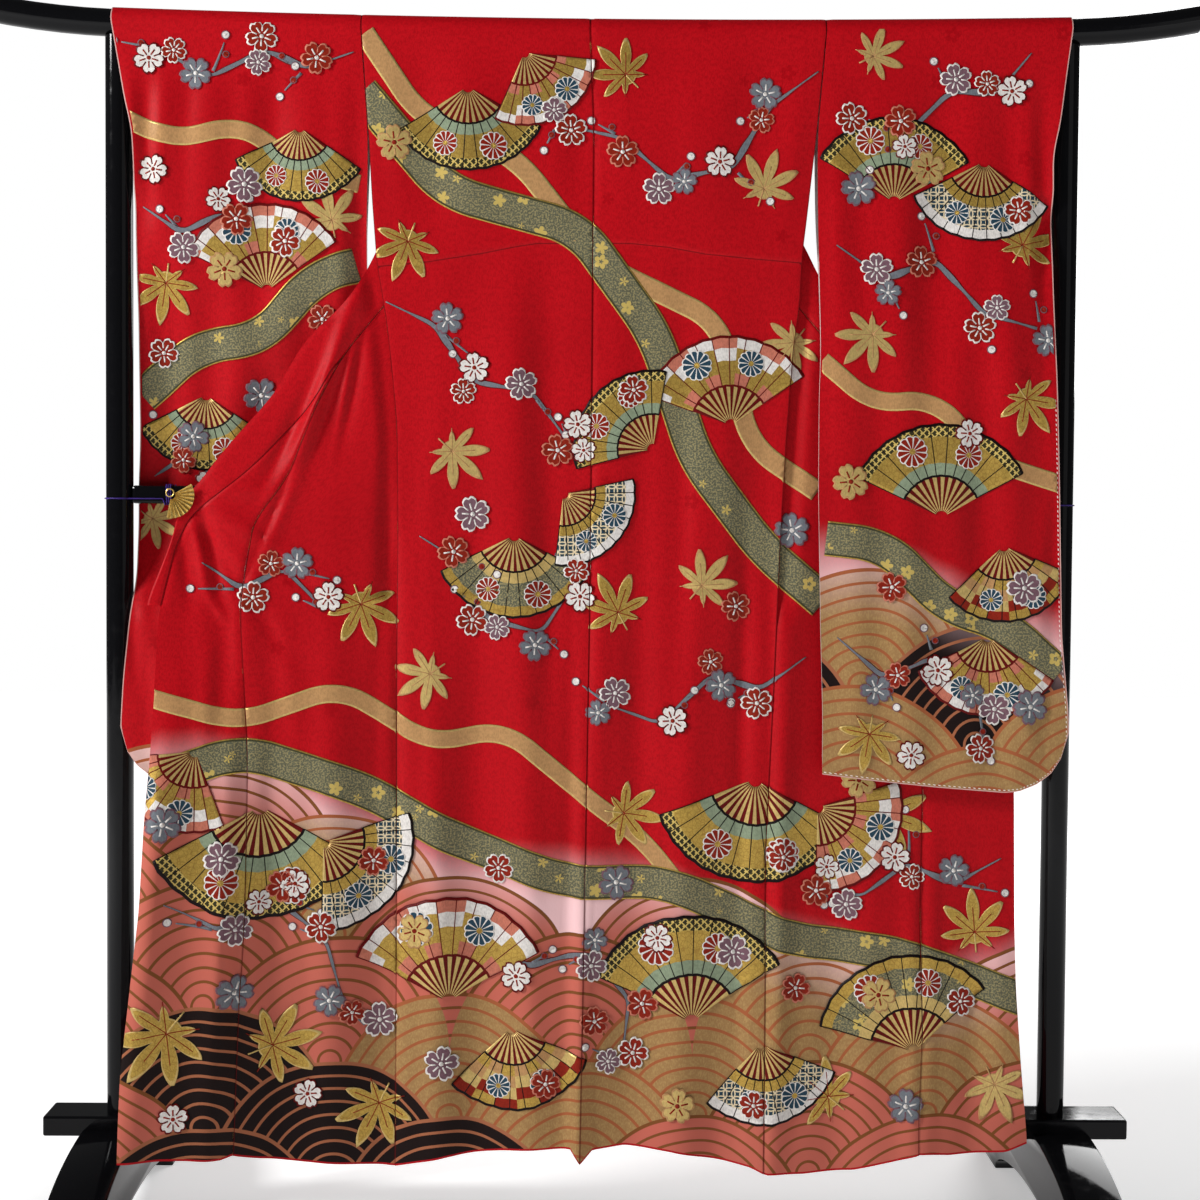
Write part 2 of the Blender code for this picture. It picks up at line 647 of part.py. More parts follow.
def build():
    clear_scene()
    silk = material("silk", (0.60, 0.010, 0.018), 0.55)
    lacquer = material("lacquer", (0.008, 0.008, 0.010), 0.12)
    gold = material("gold", (0.76, 0.56, 0.20), 0.30, 1.0)
    cord = material("cord", (0.030, 0.012, 0.160), 0.8)

    rod(lacquer)
    board("rail", (2 * (POST_X - ROUND - GAP), RAIL_THICK, RAIL_THICK), (0.0, 0.0, RAIL_Z), 0.004, lacquer)
    board("plank", (2 * PLANK_HALF, PLANK_DEPTH, PLANK_THICK), (0.0, 0.0, PLANK_TOP - PLANK_THICK / 2),
          0.003, lacquer)
    for side, sign in (("left", -1), ("right", 1)):
        post(f"post_{side}", sign * POST_X, lacquer)
        foot(f"foot_{side}", sign * FOOT_X, lacquer)
        back_panel(f"back_{side}", sign, silk)
        back_top(f"back_{side}_top", sign, silk)
        shoulder_panel(f"shoulder_{side}", sign, silk)
        front_panel(f"front_{side}", sign, silk)
        overlap_panel(f"okumi_{side}", sign, silk)
        collar_band(f"collar_{side}", sign, silk)
        sleeve_layer(f"sleeve_{side}_back", sign, -1.0, silk)
        sleeve_layer(f"sleeve_{side}_front", sign, 1.0, silk)
        cord_loop(f"cord_post_{side}", sign, cord)
    neck_band("collar_neck", silk)

    depth = fan("clip_fan", gold)
    hoop = (CLIP_X - 0.0018, depth, CLIP_Z + 0.0035)
    tube("clip_ring", ring(hoop, 0.0056, 14, "xz"), 0.001, gold, 1, True)
    cord_wrap("cord_wrap_left", CLIP_X - 0.012, 3, cord)
    start = (CLIP_X - 0.0085, -(RAIL_THICK / 2 + 2 * CORD + 3 * GAP), CLIP_Z + 0.004)
    middle = (CLIP_X - 0.0095, depth / 2 - 0.009, CLIP_Z + 0.008)
    end = (hoop[0] - 0.0040, depth + 0.0017, hoop[2] + 0.0040)
    tube("cord_run_left", [start, middle, end], CORD, cord, 1)


build()
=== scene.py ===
import math
from functools import partial

import bmesh
import bpy
import numpy as np
from mathutils import Matrix, Vector


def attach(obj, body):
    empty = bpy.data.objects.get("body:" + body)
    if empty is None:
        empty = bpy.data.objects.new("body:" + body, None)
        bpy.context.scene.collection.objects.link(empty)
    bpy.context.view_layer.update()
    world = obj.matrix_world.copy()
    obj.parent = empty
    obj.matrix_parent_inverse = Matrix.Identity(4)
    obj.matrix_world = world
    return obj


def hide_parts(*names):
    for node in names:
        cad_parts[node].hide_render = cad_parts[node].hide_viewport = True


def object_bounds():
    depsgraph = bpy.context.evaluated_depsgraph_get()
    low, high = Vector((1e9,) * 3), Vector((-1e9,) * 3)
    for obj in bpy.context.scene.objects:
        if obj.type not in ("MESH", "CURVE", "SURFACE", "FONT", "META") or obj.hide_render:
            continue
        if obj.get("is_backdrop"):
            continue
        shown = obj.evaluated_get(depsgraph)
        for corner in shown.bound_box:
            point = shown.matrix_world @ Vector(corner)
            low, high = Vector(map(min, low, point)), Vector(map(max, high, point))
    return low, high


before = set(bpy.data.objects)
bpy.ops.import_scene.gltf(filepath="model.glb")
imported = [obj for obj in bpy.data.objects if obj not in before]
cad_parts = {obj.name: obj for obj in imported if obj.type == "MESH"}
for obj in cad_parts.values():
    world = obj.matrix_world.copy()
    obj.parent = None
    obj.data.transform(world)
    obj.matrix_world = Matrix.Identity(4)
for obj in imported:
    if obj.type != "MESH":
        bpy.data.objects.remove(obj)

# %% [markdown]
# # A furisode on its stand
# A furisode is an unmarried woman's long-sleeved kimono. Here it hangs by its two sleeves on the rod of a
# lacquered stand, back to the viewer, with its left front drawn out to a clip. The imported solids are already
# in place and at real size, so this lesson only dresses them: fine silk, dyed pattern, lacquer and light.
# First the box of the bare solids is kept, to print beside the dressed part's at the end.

bare_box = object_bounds()
print("bare box", [[round(value, 4) for value in corner] for corner in bare_box])

# %% [markdown]
# ## Measures
# The cloth is a thin shell over the solids, so it needs the same few sizes that they have: where the rod
# lies, how far the cloth's middle is from it, and where each seam runs at each height. Left and right are
# those of someone who faces the garment's back. Lengths are in metres, and in the longer tables in
# millimetres.

# %% Stand sizes
POST_X = 0.683
ROD_RADIUS = 0.0195
ROD_AXIS = 1.7315
ROD_SAG = 0.009
ROD_HALF = 0.876
ROD_LIFT = 0.016
SILK = 0.0016
ON_ROD = ROD_RADIUS + 0.0014
ARC = ON_ROD * math.pi / 2
TOP_Z = 1.672
COLLAR_END = 0.8964
OPEN_Z = 0.9518
FRONT_WIDTH = 0.235
LAYER_STEP = 0.0042
HIGHEST = 1.74
FOLD_END = TOP_Z - 12.0 * 0.0554
OKUMI_TOP = 1.26
SEAM_LAP = 0.003
TUCK_LAP = 0.004
SIGN = {"left": -1, "right": 1}


def mix(a, b, t):
    return a + (b - a) * t


def smooth(t):
    t = np.clip(t, 0.0, 1.0)
    return t * t * (3.0 - 2.0 * t)


def metres(table):
    """The tables are written in millimetres; this gives the same one in metres, with its words left alone."""
    if isinstance(table, dict):
        return {key: metres(part) for key, part in table.items()}
    if isinstance(table, (int, float)):
        return table / 1000.0
    return table if isinstance(table, str) else tuple(metres(part) for part in table)


def read(table, key, at, by="z"):
    """The column's value there, averaged over a few centimetres of height, so that no row shows as a kink."""
    if by != "z":
        return np.interp(at, table[by], table[key])
    steps = (-0.018, -0.009, 0.0, 0.009, 0.018)
    return sum(np.interp(at + step, table[by], table[key]) for step in steps) / len(steps)


def collar_line(body, z):
    """Where the collar meets the overlap panel, and above that panel's point the front itself."""
    return mix(read(body["collar"], "x", z), read(body["seam"], "x", z), smooth((z - 1.2288) / 0.034))


def rod_height(x):
    out = np.maximum(0.0, (np.abs(x) - POST_X) / (ROD_HALF - POST_X))
    inside = ROD_AXIS - ROD_SAG * (1.0 - (x / POST_X) ** 2)
    outside = ROD_AXIS + 2.0 * ROD_SAG / POST_X * (np.abs(x) - POST_X) + ROD_LIFT * out * out
    return np.where(out > 0.0, outside, inside)


print("rod height at the middle", round(float(rod_height(np.array(0.0))), 4))

# %% Tables of depth
BACK_DEPTH = metres({
    "z": (50, 170, 300, 700, 1100, 1400, 1600, 1730),
    "y": (-55, -53, -48, -35, -28.5, -25, -22.5, -20.9),
})
HIDDEN_FRONT_DEPTH = metres({
    "z": (1360, 1440, 1570, 1730),
    "y": (-20, 1, 15.5, 20.9),
})
SLEEVE_DEPTH = metres({
    "left": {
        "z": (600, 880, 940, 1010, 1110, 1170, 1300, 1380, 1440, 1570, 1730),
        "near": (-30, -30, 4, 20.5, 20.5, 14, 1, -7, -13, -22.5, -20.9),
        "far": (-22.5, -22.5, 11.5, 28, 28, 21.5, 8.5, 0.5, 1, 19.5, 20.9),
    },
    "right": {
        "z": (630, 800, 1050, 1250, 1340, 1380, 1450, 1570, 1600, 1730),
        "near": (-66.5, -62.5, -57.5, -51, -42.5, -38.5, -32.5, -23.5, -22.5, -20.9),
        "far": (-59, -55, -50, -43.5, -30, -24.5, 1, 19.5, 20.5, 20.9),
    },
})
print("depth rows", len(BACK_DEPTH["z"]), "for the back")

# %% Tables of outlines
SLEEVE_EDGE = metres({
    "left": {
        "z": (720, 790, 870, 930, 1010, 1070, 1150, 1310, 1430, 1540, 1580, 1615, 1654, 1750),
        "outer": (677, 673, 665, 660, 660.5, 660.5, 657, 656, 658, 659, 660.5, 670, 677, 694),
        "inner": (330, 330, 329, 328, 327, 326, 326, 325.5, 326.2, 323.5, 324, 326.5, 329.5, 336.5),
    },
    "right": {
        "z": (745, 860, 1066, 1200, 1270, 1360, 1430, 1483, 1554, 1592, 1750),
        "outer": (687, 676, 671, 667, 664, 661, 660.5, 660.5, 660.5, 669.5, 690),
        "inner": (334, 330, 325, 325, 327, 325, 323, 322, 321.5, 322.5, 335.8),
    },
})
SLEEVE_HEM = metres({
    "left": (661, 652, 643, 636, 638, 648, 664, 684, 720),
    "right": (661, 652, 643, 636, 638, 648, 664, 686, 722),
})
SLEEVE_HEM["share"] = (0.0, 0.21, 0.47, 0.74, 0.80, 0.87, 0.93, 0.97, 1.0)
BODY = metres({
    "left": {
        "emerge": 1460,
        "side": {
            "z": (90, 440, 790, 1010, 1160, 1250, 1310, 1387, 1480, 1567, 1750),
            "x": (277, 277, 279, 278, 280, 289, 296, 309.5, 317, 322, 335.5),
        },
        "seam": {
            "z": (110, 310, 450, 560, 690, 890, 930, 960, 1025, 1040, 1090, 1130, 1190, 1255, 1378, 1740),
            "x": (501, 496, 489, 488, 489, 502, 498, 493, 481, 464, 431, 416, 391, 358, 260, 95),
        },
        "collar": {
            "z": (880, 940, 990, 1030, 1060, 1100, 1190, 1255, 1378, 1680),
            "x": (617, 604, 592, 572, 530, 482, 399, 362, 264.5, 127),
        },
        "edge": {
            "z": (900, 940, 990, 1047, 1064, 1116, 1176, 1191, 1279, 1335, 1379, 1680),
            "x": (634, 618, 600, 589, 569, 530, 478, 462, 411, 351, 324, 187),
        },
        "front_edge": {
            "z": (115, 250, 340, 470, 600, 690, 790, 880, 900),
            "x": (655, 651, 642, 630, 627, 622, 619, 616.5, 612.2),
        },
    },
    "right": {
        "emerge": 1370,
        "side": {
            "z": (80, 350, 540, 770, 990, 1130, 1270, 1333, 1406, 1456, 1577, 1750),
            "x": (255, 256, 255, 265, 273, 280, 289, 298, 301, 307, 320, 334.8),
        },
        "seam": {
            "z": (110, 170, 280, 440, 640, 800, 930, 1025, 1090, 1130, 1190, 1255, 1378, 1740),
            "x": (480, 480, 484, 480, 482, 484, 486, 474, 436, 418, 391, 358, 260, 95),
        },
        "collar": {
            "z": (880, 940, 990, 1030, 1060, 1100, 1190, 1255, 1378, 1680),
            "x": (606, 598, 588, 570, 530, 482, 399, 362, 264.5, 127),
        },
        "edge": {
            "z": (900, 940, 990, 1047, 1064, 1116, 1176, 1191, 1279, 1335, 1379, 1680),
            "x": (624, 614, 600, 589, 569, 530, 478, 462, 411, 351, 324, 187),
        },
        "front_edge": {
            "z": (125, 240, 350, 440, 630, 760, 880, 900),
            "x": (638, 628, 620, 617, 615, 611, 605.2, 602.2),
        },
    },
})
CENTRE = metres({
    "z": (95, 330, 620, 910, 1580, 1740),
    "x": (-10, -7, -4, -1, 0, -7),
})
HEM = metres({
    "x": (-655, -599, -517, -502, -465, -407, -340, -277, -203, -121, -24, -10, 8, 54, 119, 183, 237, 258,
          312, 386, 441, 483, 525, 608, 638),
    "z": (121, 122, 117, 120, 110, 102, 94, 88, 103, 112, 116, 95, 113, 119, 113, 100, 89, 80, 79, 84, 97,
          109, 107, 112, 125),
})
TUCK = metres({
    "x": (-309, -239, -158, -115, -80, 55, 109, 161, 226, 319),
    "z": (1387, 1394, 1407, 1416, 1422, 1423, 1418, 1409, 1403, 1396),
})
print("outline rows", sum(len(BODY[side][key]["z"]) for side in BODY for key in ("side", "seam", "edge")))

# %% [markdown]
# ## Folds and creases
# Hanging silk isn't flat: long folds open out from the clip, the armholes and the sash line down to the hem.
# Each one is a soft ridge or trough that follows a line from a high point to a low one. The large ones are
# also in the solids. The fine ones, a millimetre or two deep, are placed after the photograph: uneven in
# length, depth and spacing, because cloth simulation would give an arrangement of its own.

# %% Large folds
FOLDS = metres({
    "x_high": (-335, -318, -560, -570, -545, -500, -455, -375, -300, -245, -165, -100, -4, 75, 150, 235,
               292, 375, 483, 555),
    "z_high": (1360, 1370, 1130, 1030, 1020, 950, 1020, 1120, 1100, 1250, 1050, 1300, 850, 1100, 1280, 1200,
               1100, 800, 600, 550),
    "x_low": (-436, -366, -600, -645, -500, -535, -455, -365, -292, -215, -160, -80, -13, 60, 130, 190, 262,
              360, 476, 560),
    "z_low": (1060, 1100, 620, 116, 600, 116, 110, 97, 89, 100, 107, 114, 95, 118, 112, 99, 80, 82, 106,
              110),
    "width_high": (12, 10, 22, 20, 22, 20, 24, 28, 16, 20, 26, 26, 10, 24, 24, 26, 18, 26, 18, 26),
    "width_low": (20, 16, 26, 24, 30, 22, 30, 34, 22, 30, 34, 30, 14, 34, 34, 30, 26, 36, 22, 30),
    "rise_mid": (13, -5, -9, 6, -9, 4, -4, 4, -4, 4, -3, 3, 2, -3, 4, -3, 4, -3, 3, -3),
    "rise_low": (0, 0, 0, 9, 0, 9, -8, 10, -6, 9, -8, 7, 14, -7, 9, -7, 10, -8, 7, -6),
})


def fold_rise(x, z):
    """How far the large folds push the cloth towards the viewer."""
    total = np.zeros_like(x)
    for i, z_high in enumerate(FOLDS["z_high"]):
        run = (z_high - z) / (z_high - FOLDS["z_low"][i])
        along = np.clip(run, 0.0, 1.0)
        rise = 4.0 * along * (1.0 - along) * FOLDS["rise_mid"][i] + smooth(along) * FOLDS["rise_low"][i]
        middle = mix(FOLDS["x_high"][i], FOLDS["x_low"][i], along)
        width = mix(FOLDS["width_high"][i], FOLDS["width_low"][i], along)
        total += np.where(run > 0.0, rise, 0.0) * np.exp(-(((x - middle) / width) ** 2))
    return total


def skirt_base(x, z):
    """Depth of the hanging body with its large folds and the lean of its left front."""
    lean = 0.095 * smooth((-0.30 - x) / 0.36) * smooth((1.25 - z) / 1.10)
    return read(BACK_DEPTH, "y", z) - lean - fold_rise(x, z)


print("folds", len(FOLDS["z_high"]))

# %% Fine creases: a line from one point to another, its half-width and its height, negative for a trough
CREASES = metres({
    "body": (
        # above the waist tuck
        (-300, 1700, -270, 1420, 18, 2.4), (-250, 1690, -225, 1450, 20, -2),
        (-190, 1700, -180, 1440, 22, 2), (-120, 1690, -130, 1450, 24, -1.8),
        (-50, 1700, -50, 1450, 20, 1.6), (45, 1700, 40, 1450, 20, 1.4), (110, 1690, 120, 1450, 24, -1.8),
        (190, 1700, 175, 1440, 22, 2), (250, 1690, 225, 1450, 20, -2), (305, 1700, 270, 1420, 18, 2.4),
        # each width billows a little between its seams
        (-130, 1400, -145, 780, 52, 6.2), (-240, 1180, -246, 640, 26, -4), (46, 1410, 40, 600, 30, 4.8),
        (168, 1340, 166, 680, 36, 4.8), (252, 1330, 244, 860, 22, -4), (-70, 1380, -55, 760, 26, -3.4),
        (-175, 640, -180, 180, 46, 5.6), (110, 620, 108, 180, 40, -5), (205, 700, 200, 200, 32, 4.4),
        (-390, 740, -385, 180, 50, 5), (385, 620, 380, 180, 45, 4.8), (-575, 780, -585, 200, 36, 4),
        (-180, 1700, -170, 1440, 50, 4.8), (150, 1700, 140, 1440, 50, 4.4),
        (-20, 1700, -20, 1450, 36, -3.6),
        # long soft folds of the back
        (-210, 1385, -235, 950, 20, 2.4), (-160, 1385, -165, 600, 24, -2.8),
        (-110, 1390, -105, 750, 22, 2.4), (-60, 1400, -60, 620, 22, -2.4), (60, 1400, 62, 700, 20, -2.2),
        (100, 1395, 98, 550, 18, 2.8), (135, 1390, 132, 720, 16, -3), (190, 1385, 200, 600, 20, 2.8),
        (-205, 800, -215, 300, 20, 2.4), (-130, 620, -140, 200, 20, -2.2), (-80, 560, -85, 180, 18, 2.2),
        (150, 560, 155, 180, 18, -2.4), (345, 640, 345, 180, 20, -2.4), (405, 620, 400, 160, 22, 2.2),
        (-350, 780, -345, 200, 20, 2.4), (-400, 800, -405, 180, 22, -2.6), (-560, 800, -575, 200, 16, -2.6),
        (-610, 760, -620, 200, 14, 2.6), (560, 580, 565, 180, 18, -2.2), (595, 560, 600, 200, 14, 2.2),
        # the dip along each seam and the soft ridges beside it
        (-489, 800, -501, 120, 6, -3.4), (-470, 780, -478, 120, 10, 2.8), (-512, 780, -524, 120, 10, 2.8),
        (-279, 1000, -277, 110, 6, -3.2), (-296, 980, -296, 110, 11, 3), (-258, 1000, -258, 110, 11, 2.4),
        (-3, 950, -10, 120, 5, -1.6), (16, 1250, 12, 140, 12, 3), (-24, 1200, -32, 140, 12, -2.8),
        (262, 1000, 255, 100, 6, -3.2), (243, 1050, 232, 120, 10, 3.4), (222, 1050, 214, 120, 10, -3.2),
        (280, 1000, 276, 120, 11, 3), (483, 620, 480, 120, 6, -3.4), (500, 620, 500, 120, 10, 2.8),
        (464, 620, 464, 120, 10, 2.4),
        # the deep pleat from the left armhole
        (-350, 1310, -484, 1043, 12, -6), (-342, 1300, -408, 1095, 9, -6), (-328, 1343, -372, 1104, 6, 5),
        (-431, 1092, -508, 905, 4.5, -4), (-418, 1085, -495, 905, 8, 3.4),
        (-300, 1100, -292, 800, 14, -3.6), (-330, 915, -285, 921, 4, -2.4), (-325, 903, -288, 908, 5, 2),
        # folds that open out from the clip
        (-573, 1035, -549, 914, 7, 6), (-549, 914, -524, 877, 6, 4.5), (-556, 1020, -530, 915, 8, -6),
        (-592, 1010, -573, 900, 9, -4.5), (-585, 1045, -430, 820, 11, -4), (-565, 1050, -380, 930, 12, 3.8),
        (-555, 1065, -420, 1060, 12, 3.4), (-480, 1000, -340, 860, 12, -2.6), (-540, 860, -550, 700, 12, 3),
        (-450, 900, -420, 720, 14, 2.6),
        # the marks of storage folds
        (-255, 917, -20, 926, 4, -1.3), (-200, 911, -60, 919, 4, 1), (20, 930, 250, 922, 4, -1),
    ),
    "sleeve_left": (
        (-565, 1640, -575, 1380, 46, 5), (-480, 1620, -480, 1330, 34, -4.2),
        (-400, 1600, -400, 1300, 36, 4.4), (-668, 1700, -655, 1500, 12, 3.2),
        (-640, 1700, -640, 1450, 12, -3.2), (-612, 1700, -628, 1400, 14, 3.6),
        (-578, 1690, -590, 1420, 13, -3.2), (-545, 1680, -555, 1350, 18, 2.6),
        (-492, 1700, -500, 1400, 16, 3.2), (-455, 1700, -462, 1450, 18, -3.2),
        (-410, 1660, -405, 1300, 22, 2.4), (-365, 1660, -362, 1250, 14, 3.4),
        (-338, 1660, -340, 1220, 10, -3.8), (-420, 1400, -560, 1120, 24, 3.2),
        (-380, 1360, -480, 1180, 20, -3.2), (-600, 1360, -600, 1100, 18, -2.8),
        (-645, 1400, -640, 1080, 12, 3), (-640, 900, -600, 680, 14, 3), (-662, 950, -655, 760, 10, -3),
    ),
    "sleeve_right": (
        (420, 1600, 415, 1180, 45, 5.4), (500, 1560, 500, 1150, 34, -4.4), (585, 1540, 590, 1100, 40, 5.2),
        (440, 1120, 440, 740, 46, 5), (560, 1080, 560, 760, 40, -4.4), (675, 1700, 655, 1300, 12, 3.2),
        (645, 1680, 648, 1050, 10, -3.2), (622, 1700, 628, 1300, 12, 3.2), (590, 1690, 600, 1360, 14, -3),
        (548, 1660, 540, 1300, 20, 3.2), (500, 1680, 495, 1400, 20, -3), (450, 1660, 440, 1300, 22, 3),
        (383, 1640, 385, 1250, 14, -3.6), (350, 1640, 348, 1100, 12, 3.6), (560, 1260, 550, 950, 24, -2.6),
        (500, 1220, 490, 900, 22, 2.8), (440, 1180, 430, 850, 22, -2.6), (662, 1100, 664, 750, 10, -3),
        (640, 1020, 642, 720, 12, 3.2), (600, 800, 640, 690, 12, 3.6), (560, 800, 590, 670, 12, -2.8),
        (390, 1050, 385, 700, 18, 2.4), (335, 922, 600, 927, 4, -1.4), (340, 914, 580, 919, 4, 1),
    ),
})


def crease_rise(cloth, x, z):
    """Height of the fine creases of this cloth at these places."""
    total = np.zeros_like(x)
    for x1, z1, x2, z2, width, height in CREASES[cloth]:
        run_x, run_z = x2 - x1, z2 - z1
        square = run_x * run_x + run_z * run_z
        along = np.clip(((x - x1) * run_x + (z - z1) * run_z) / square, 0.0, 1.0)
        apart = (x - x1 - along * run_x) ** 2 + (z - z1 - along * run_z) ** 2
        bend = 1.0 - 0.25 * np.cos(7.0 * along + 40.0 * x1)
        total += height * bend * np.sin(math.pi * (0.08 + 0.84 * along)) * np.exp(-apart / width ** 2)
    return total


def skirt(x, z):
    return skirt_base(x, z) - crease_rise("body", x, z)


print("creases", {cloth: len(rows) for cloth, rows in CREASES.items()})

# %% [markdown]
# ## Where each layer lies
# A kimono front is one straight width. Behind the back it is folded: it leaves the side seam inwards, turns,
# and comes out again past the seam, towards the clip or behind the right sleeve. These functions give that
# hidden fold, the drawn-out front, and the two layers of a sleeve, as depth at any place of the front view.


# %% Depth of the fronts and of the sleeves
def turned(body, z):
    side = read(body["side"], "x", z)
    width = np.maximum(0.0, (side - read(body["seam"], "x", z) + FRONT_WIDTH) / 2.0)
    return width * smooth((z - OPEN_Z) / 0.05)


def behind(x, z, layers):
    hung = skirt(x, z) + SILK + 0.0014
    hidden = mix(hung, read(HIDDEN_FRONT_DEPTH, "y", z), smooth((z - 1.385) / 0.075))
    return hidden + (layers - 1) * LAYER_STEP


def drawn(body, x, z):
    beyond = smooth((np.abs(x) - read(body["side"], "x", z) - 0.012) / 0.020)
    beyond = beyond * smooth((body["emerge"] - z) / 0.08)
    covered = smooth((z - OPEN_Z + 0.09) / 0.06)
    return mix(skirt(x, z), behind(x, z, 2), covered * (1.0 - beyond))


def sleeve_half(side, out, outer, low, z):
    """Half of the distance between a sleeve's two layers, which close below the cuff and at the bottom."""
    depth = SLEEVE_DEPTH[side]
    closed = (1.0 - smooth((outer - out) / 0.045)) * smooth((1.505 - z) / 0.05)
    closed = np.maximum(closed, 1.0 - smooth((z - low) / 0.03))
    apart = (read(depth, "far", z) - read(depth, "near", z)) / 2.0
    return mix(apart, 0.0012, closed), closed


def sleeve_depth(side, facing, x, z):
    edge, depth = SLEEVE_EDGE[side], SLEEVE_DEPTH[side]
    out = np.abs(x)
    inner, outer = read(edge, "inner", z), read(edge, "outer", z)
    share = np.clip((out - inner) / (outer - inner), 0.0, 1.0)
    half, closed = sleeve_half(side, out, outer, read(SLEEVE_HEM, side, share, "share"), z)
    middle = (read(depth, "near", z) + read(depth, "far", z)) / 2.0
    wave = 0.0025 * np.sin(9.0 * math.pi * share + 1.0) * smooth((1.60 - z) / 0.4) * (1.0 - closed)
    return middle + facing * half + wave - crease_rise(f"sleeve_{side}", x, z) * smooth((1.70 - z) / 0.08)


near_face = float(sleeve_depth("left", -1.0, np.array(-0.5), np.array(1.3)))
print("left sleeve near face at 1.3 m", round(near_face, 4))

# %% [markdown]
# ## Making cloth
# A piece of silk is a flat grid that operators make: created, swept to a thin closed slab, then laid by a
# function of two shares, across and down. Each point also gets its place in the uncut silk, in metres, as a
# UV map, so the dyed pattern lies in the cloth and not in the air. The sleeves' maps lie 2 m beside the
# body's.


# %% A slab of cloth
SILK_PIECES = {}
FAR = 1.0


def new_object(name, bm, finishes, sharp=None):
    """Puts a bmesh into the scene with these materials, smooth except at corners sharper than this angle."""
    mesh = bpy.data.meshes.new(name)
    bm.to_mesh(mesh)
    bm.free()
    mesh.shade_smooth()
    if sharp:
        mesh.set_sharp_from_angle(angle=math.radians(sharp))
    for finish in finishes:
        mesh.materials.append(finish)
    made = bpy.data.objects.new(name, mesh)
    bpy.context.scene.collection.objects.link(made)
    return made


def swept(bm, faces, run):
    """Extrudes the faces by run and moves the far side there."""
    made = bmesh.ops.extrude_face_region(bm, geom=faces)
    far = [item for item in made["geom"] if isinstance(item, bmesh.types.BMVert)]
    bmesh.ops.translate(bm, verts=far, vec=run)
    bmesh.ops.recalc_face_normals(bm, faces=bm.faces)


def silk_piece(name, columns, rows, place, *nodes, wall=SILK):
    """place(across, down) gives x, y, z, the outward direction's y and z, the flat place u, v, and the
    distances to the nearest seam and to the nearest finished edge, which the dye shader draws lines by.
    The line along a seam is painted shade."""
    bm = bmesh.new()
    bmesh.ops.create_grid(bm, x_segments=columns, y_segments=rows, size=0.5)
    cut = bm.loops.layers.uv.new("cut")
    swept(bm, bm.faces[:], (0.0, 0.0, 1.0))
    flat = np.array([vert.co[:] for vert in bm.verts])
    x, y, z, out_y, out_z, u, v, seam, rim = place(flat[:, 0] + 0.5, 0.5 - flat[:, 1])
    lift = (flat[:, 2] - 0.5) * wall
    for vert, point in zip(bm.verts, np.column_stack((x, y + out_y * lift, z + out_z * lift))):
        vert.co = point
    bm.verts.index_update()
    for face in bm.faces:
        outer = sum(flat[loop.vert.index, 2] for loop in face.loops) / len(face.loops) > 0.4
        face.material_index = 0 if outer else 1
        for loop in face.loops:
            loop[cut].uv = (u[loop.vert.index], v[loop.vert.index])
    if bm.calc_volume(signed=True) < 0.0:
        bmesh.ops.reverse_faces(bm, faces=bm.faces)
    piece = new_object(f"silk_{name}", bm, LINED, 50.0)
    for label, distance in (("seam", seam), ("rim", rim)):
        made = piece.data.attributes.new(label, "FLOAT", "POINT")
        made.data.foreach_set("value", distance.astype(np.float32))
    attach(piece, "root")
    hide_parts(name, *nodes)
    SILK_PIECES[name] = piece


def laid(x, y, z, run, side, drop, u_shift=0.0, v_from=0.10, seam=FAR, rim=FAR):
    """Cloth rolled over the rod as far as ARC, then hanging; drop sinks it at its seams."""
    angle = np.minimum(run, ARC) / ON_ROD
    out_y, out_z = side * np.sin(angle), np.cos(angle)
    rolled = run < ARC
    v = np.where(rolled, rod_height(x) + ARC - run, z) - v_from
    y = np.where(rolled, ON_ROD * out_y, y) - out_y * drop
    z = np.where(rolled, rod_height(x) + ON_ROD * out_z, z) - out_z * drop
    return x, y, z, out_y, out_z, x + u_shift, v, seam + 0.0 * x, rim + 0.0 * x


def columns_of(across, columns, width):
    """Even columns, with three close ones at each side edge, where the seams are."""
    edges = (0.0, 0.0012, 0.004, 0.009)
    middle = np.linspace(0.016, width - 0.016, columns - 7)
    stops = [*edges, *middle, *[width - edge for edge in edges[::-1]]]
    return np.interp(across * columns, np.arange(columns + 1), np.array(stops) / width)


def under(distance):
    """A seam's under side: it sinks behind its neighbour's wall, and comes level 4 mm past the seam."""
    return 0.0019 * (1.0 - smooth((distance - 0.0004) / 0.0040))


def over(distance):
    """A seam's upper side: the last 3 mm dip a little towards the stitches."""
    return 0.0005 * (1.0 - smooth(distance / 0.0030))


print("cloth tools ready")

# %% [markdown]
# ## Dyed silk as node groups
# The ground is red crepe: its hard-twisted yarns leave a fine mottled grain that also breaks up the sheen.
# Small blossoms are woven into it and show only as a change of lustre. The lower parts carry resist-dyed wave
# scales, the traditional seigaiha, with a misty edge where the red dye was brushed out. Each effect is one
# node group that puts out values, so the cloth's Principled shader stays in its own material.


# %% A short way to write shader nodes
def joined(operation, turned=False):
    """What a sign does between two values; turned is for a plain number on the left."""

    def between(one, other):
        return maths(operation, *((other, one) if turned else (one, other)))

    return between


class Value:
    """What one output socket gives. A sign between two values adds a Math node, so a tree reads as a sum."""

    def __init__(self, socket):
        self.socket = socket
        self.tree = socket.id_data

    def other(self, output):
        """Another output of the same node."""
        return Value(self.socket.node.outputs[output])

    def __abs__(self):
        return maths("ABSOLUTE", self)

    __add__, __sub__, __rsub__ = joined("ADD"), joined("SUBTRACT"), joined("SUBTRACT", True)
    __mul__, __truediv__ = joined("MULTIPLY"), joined("DIVIDE")
    __lt__, __gt__ = joined("LESS_THAN"), joined("GREATER_THAN")


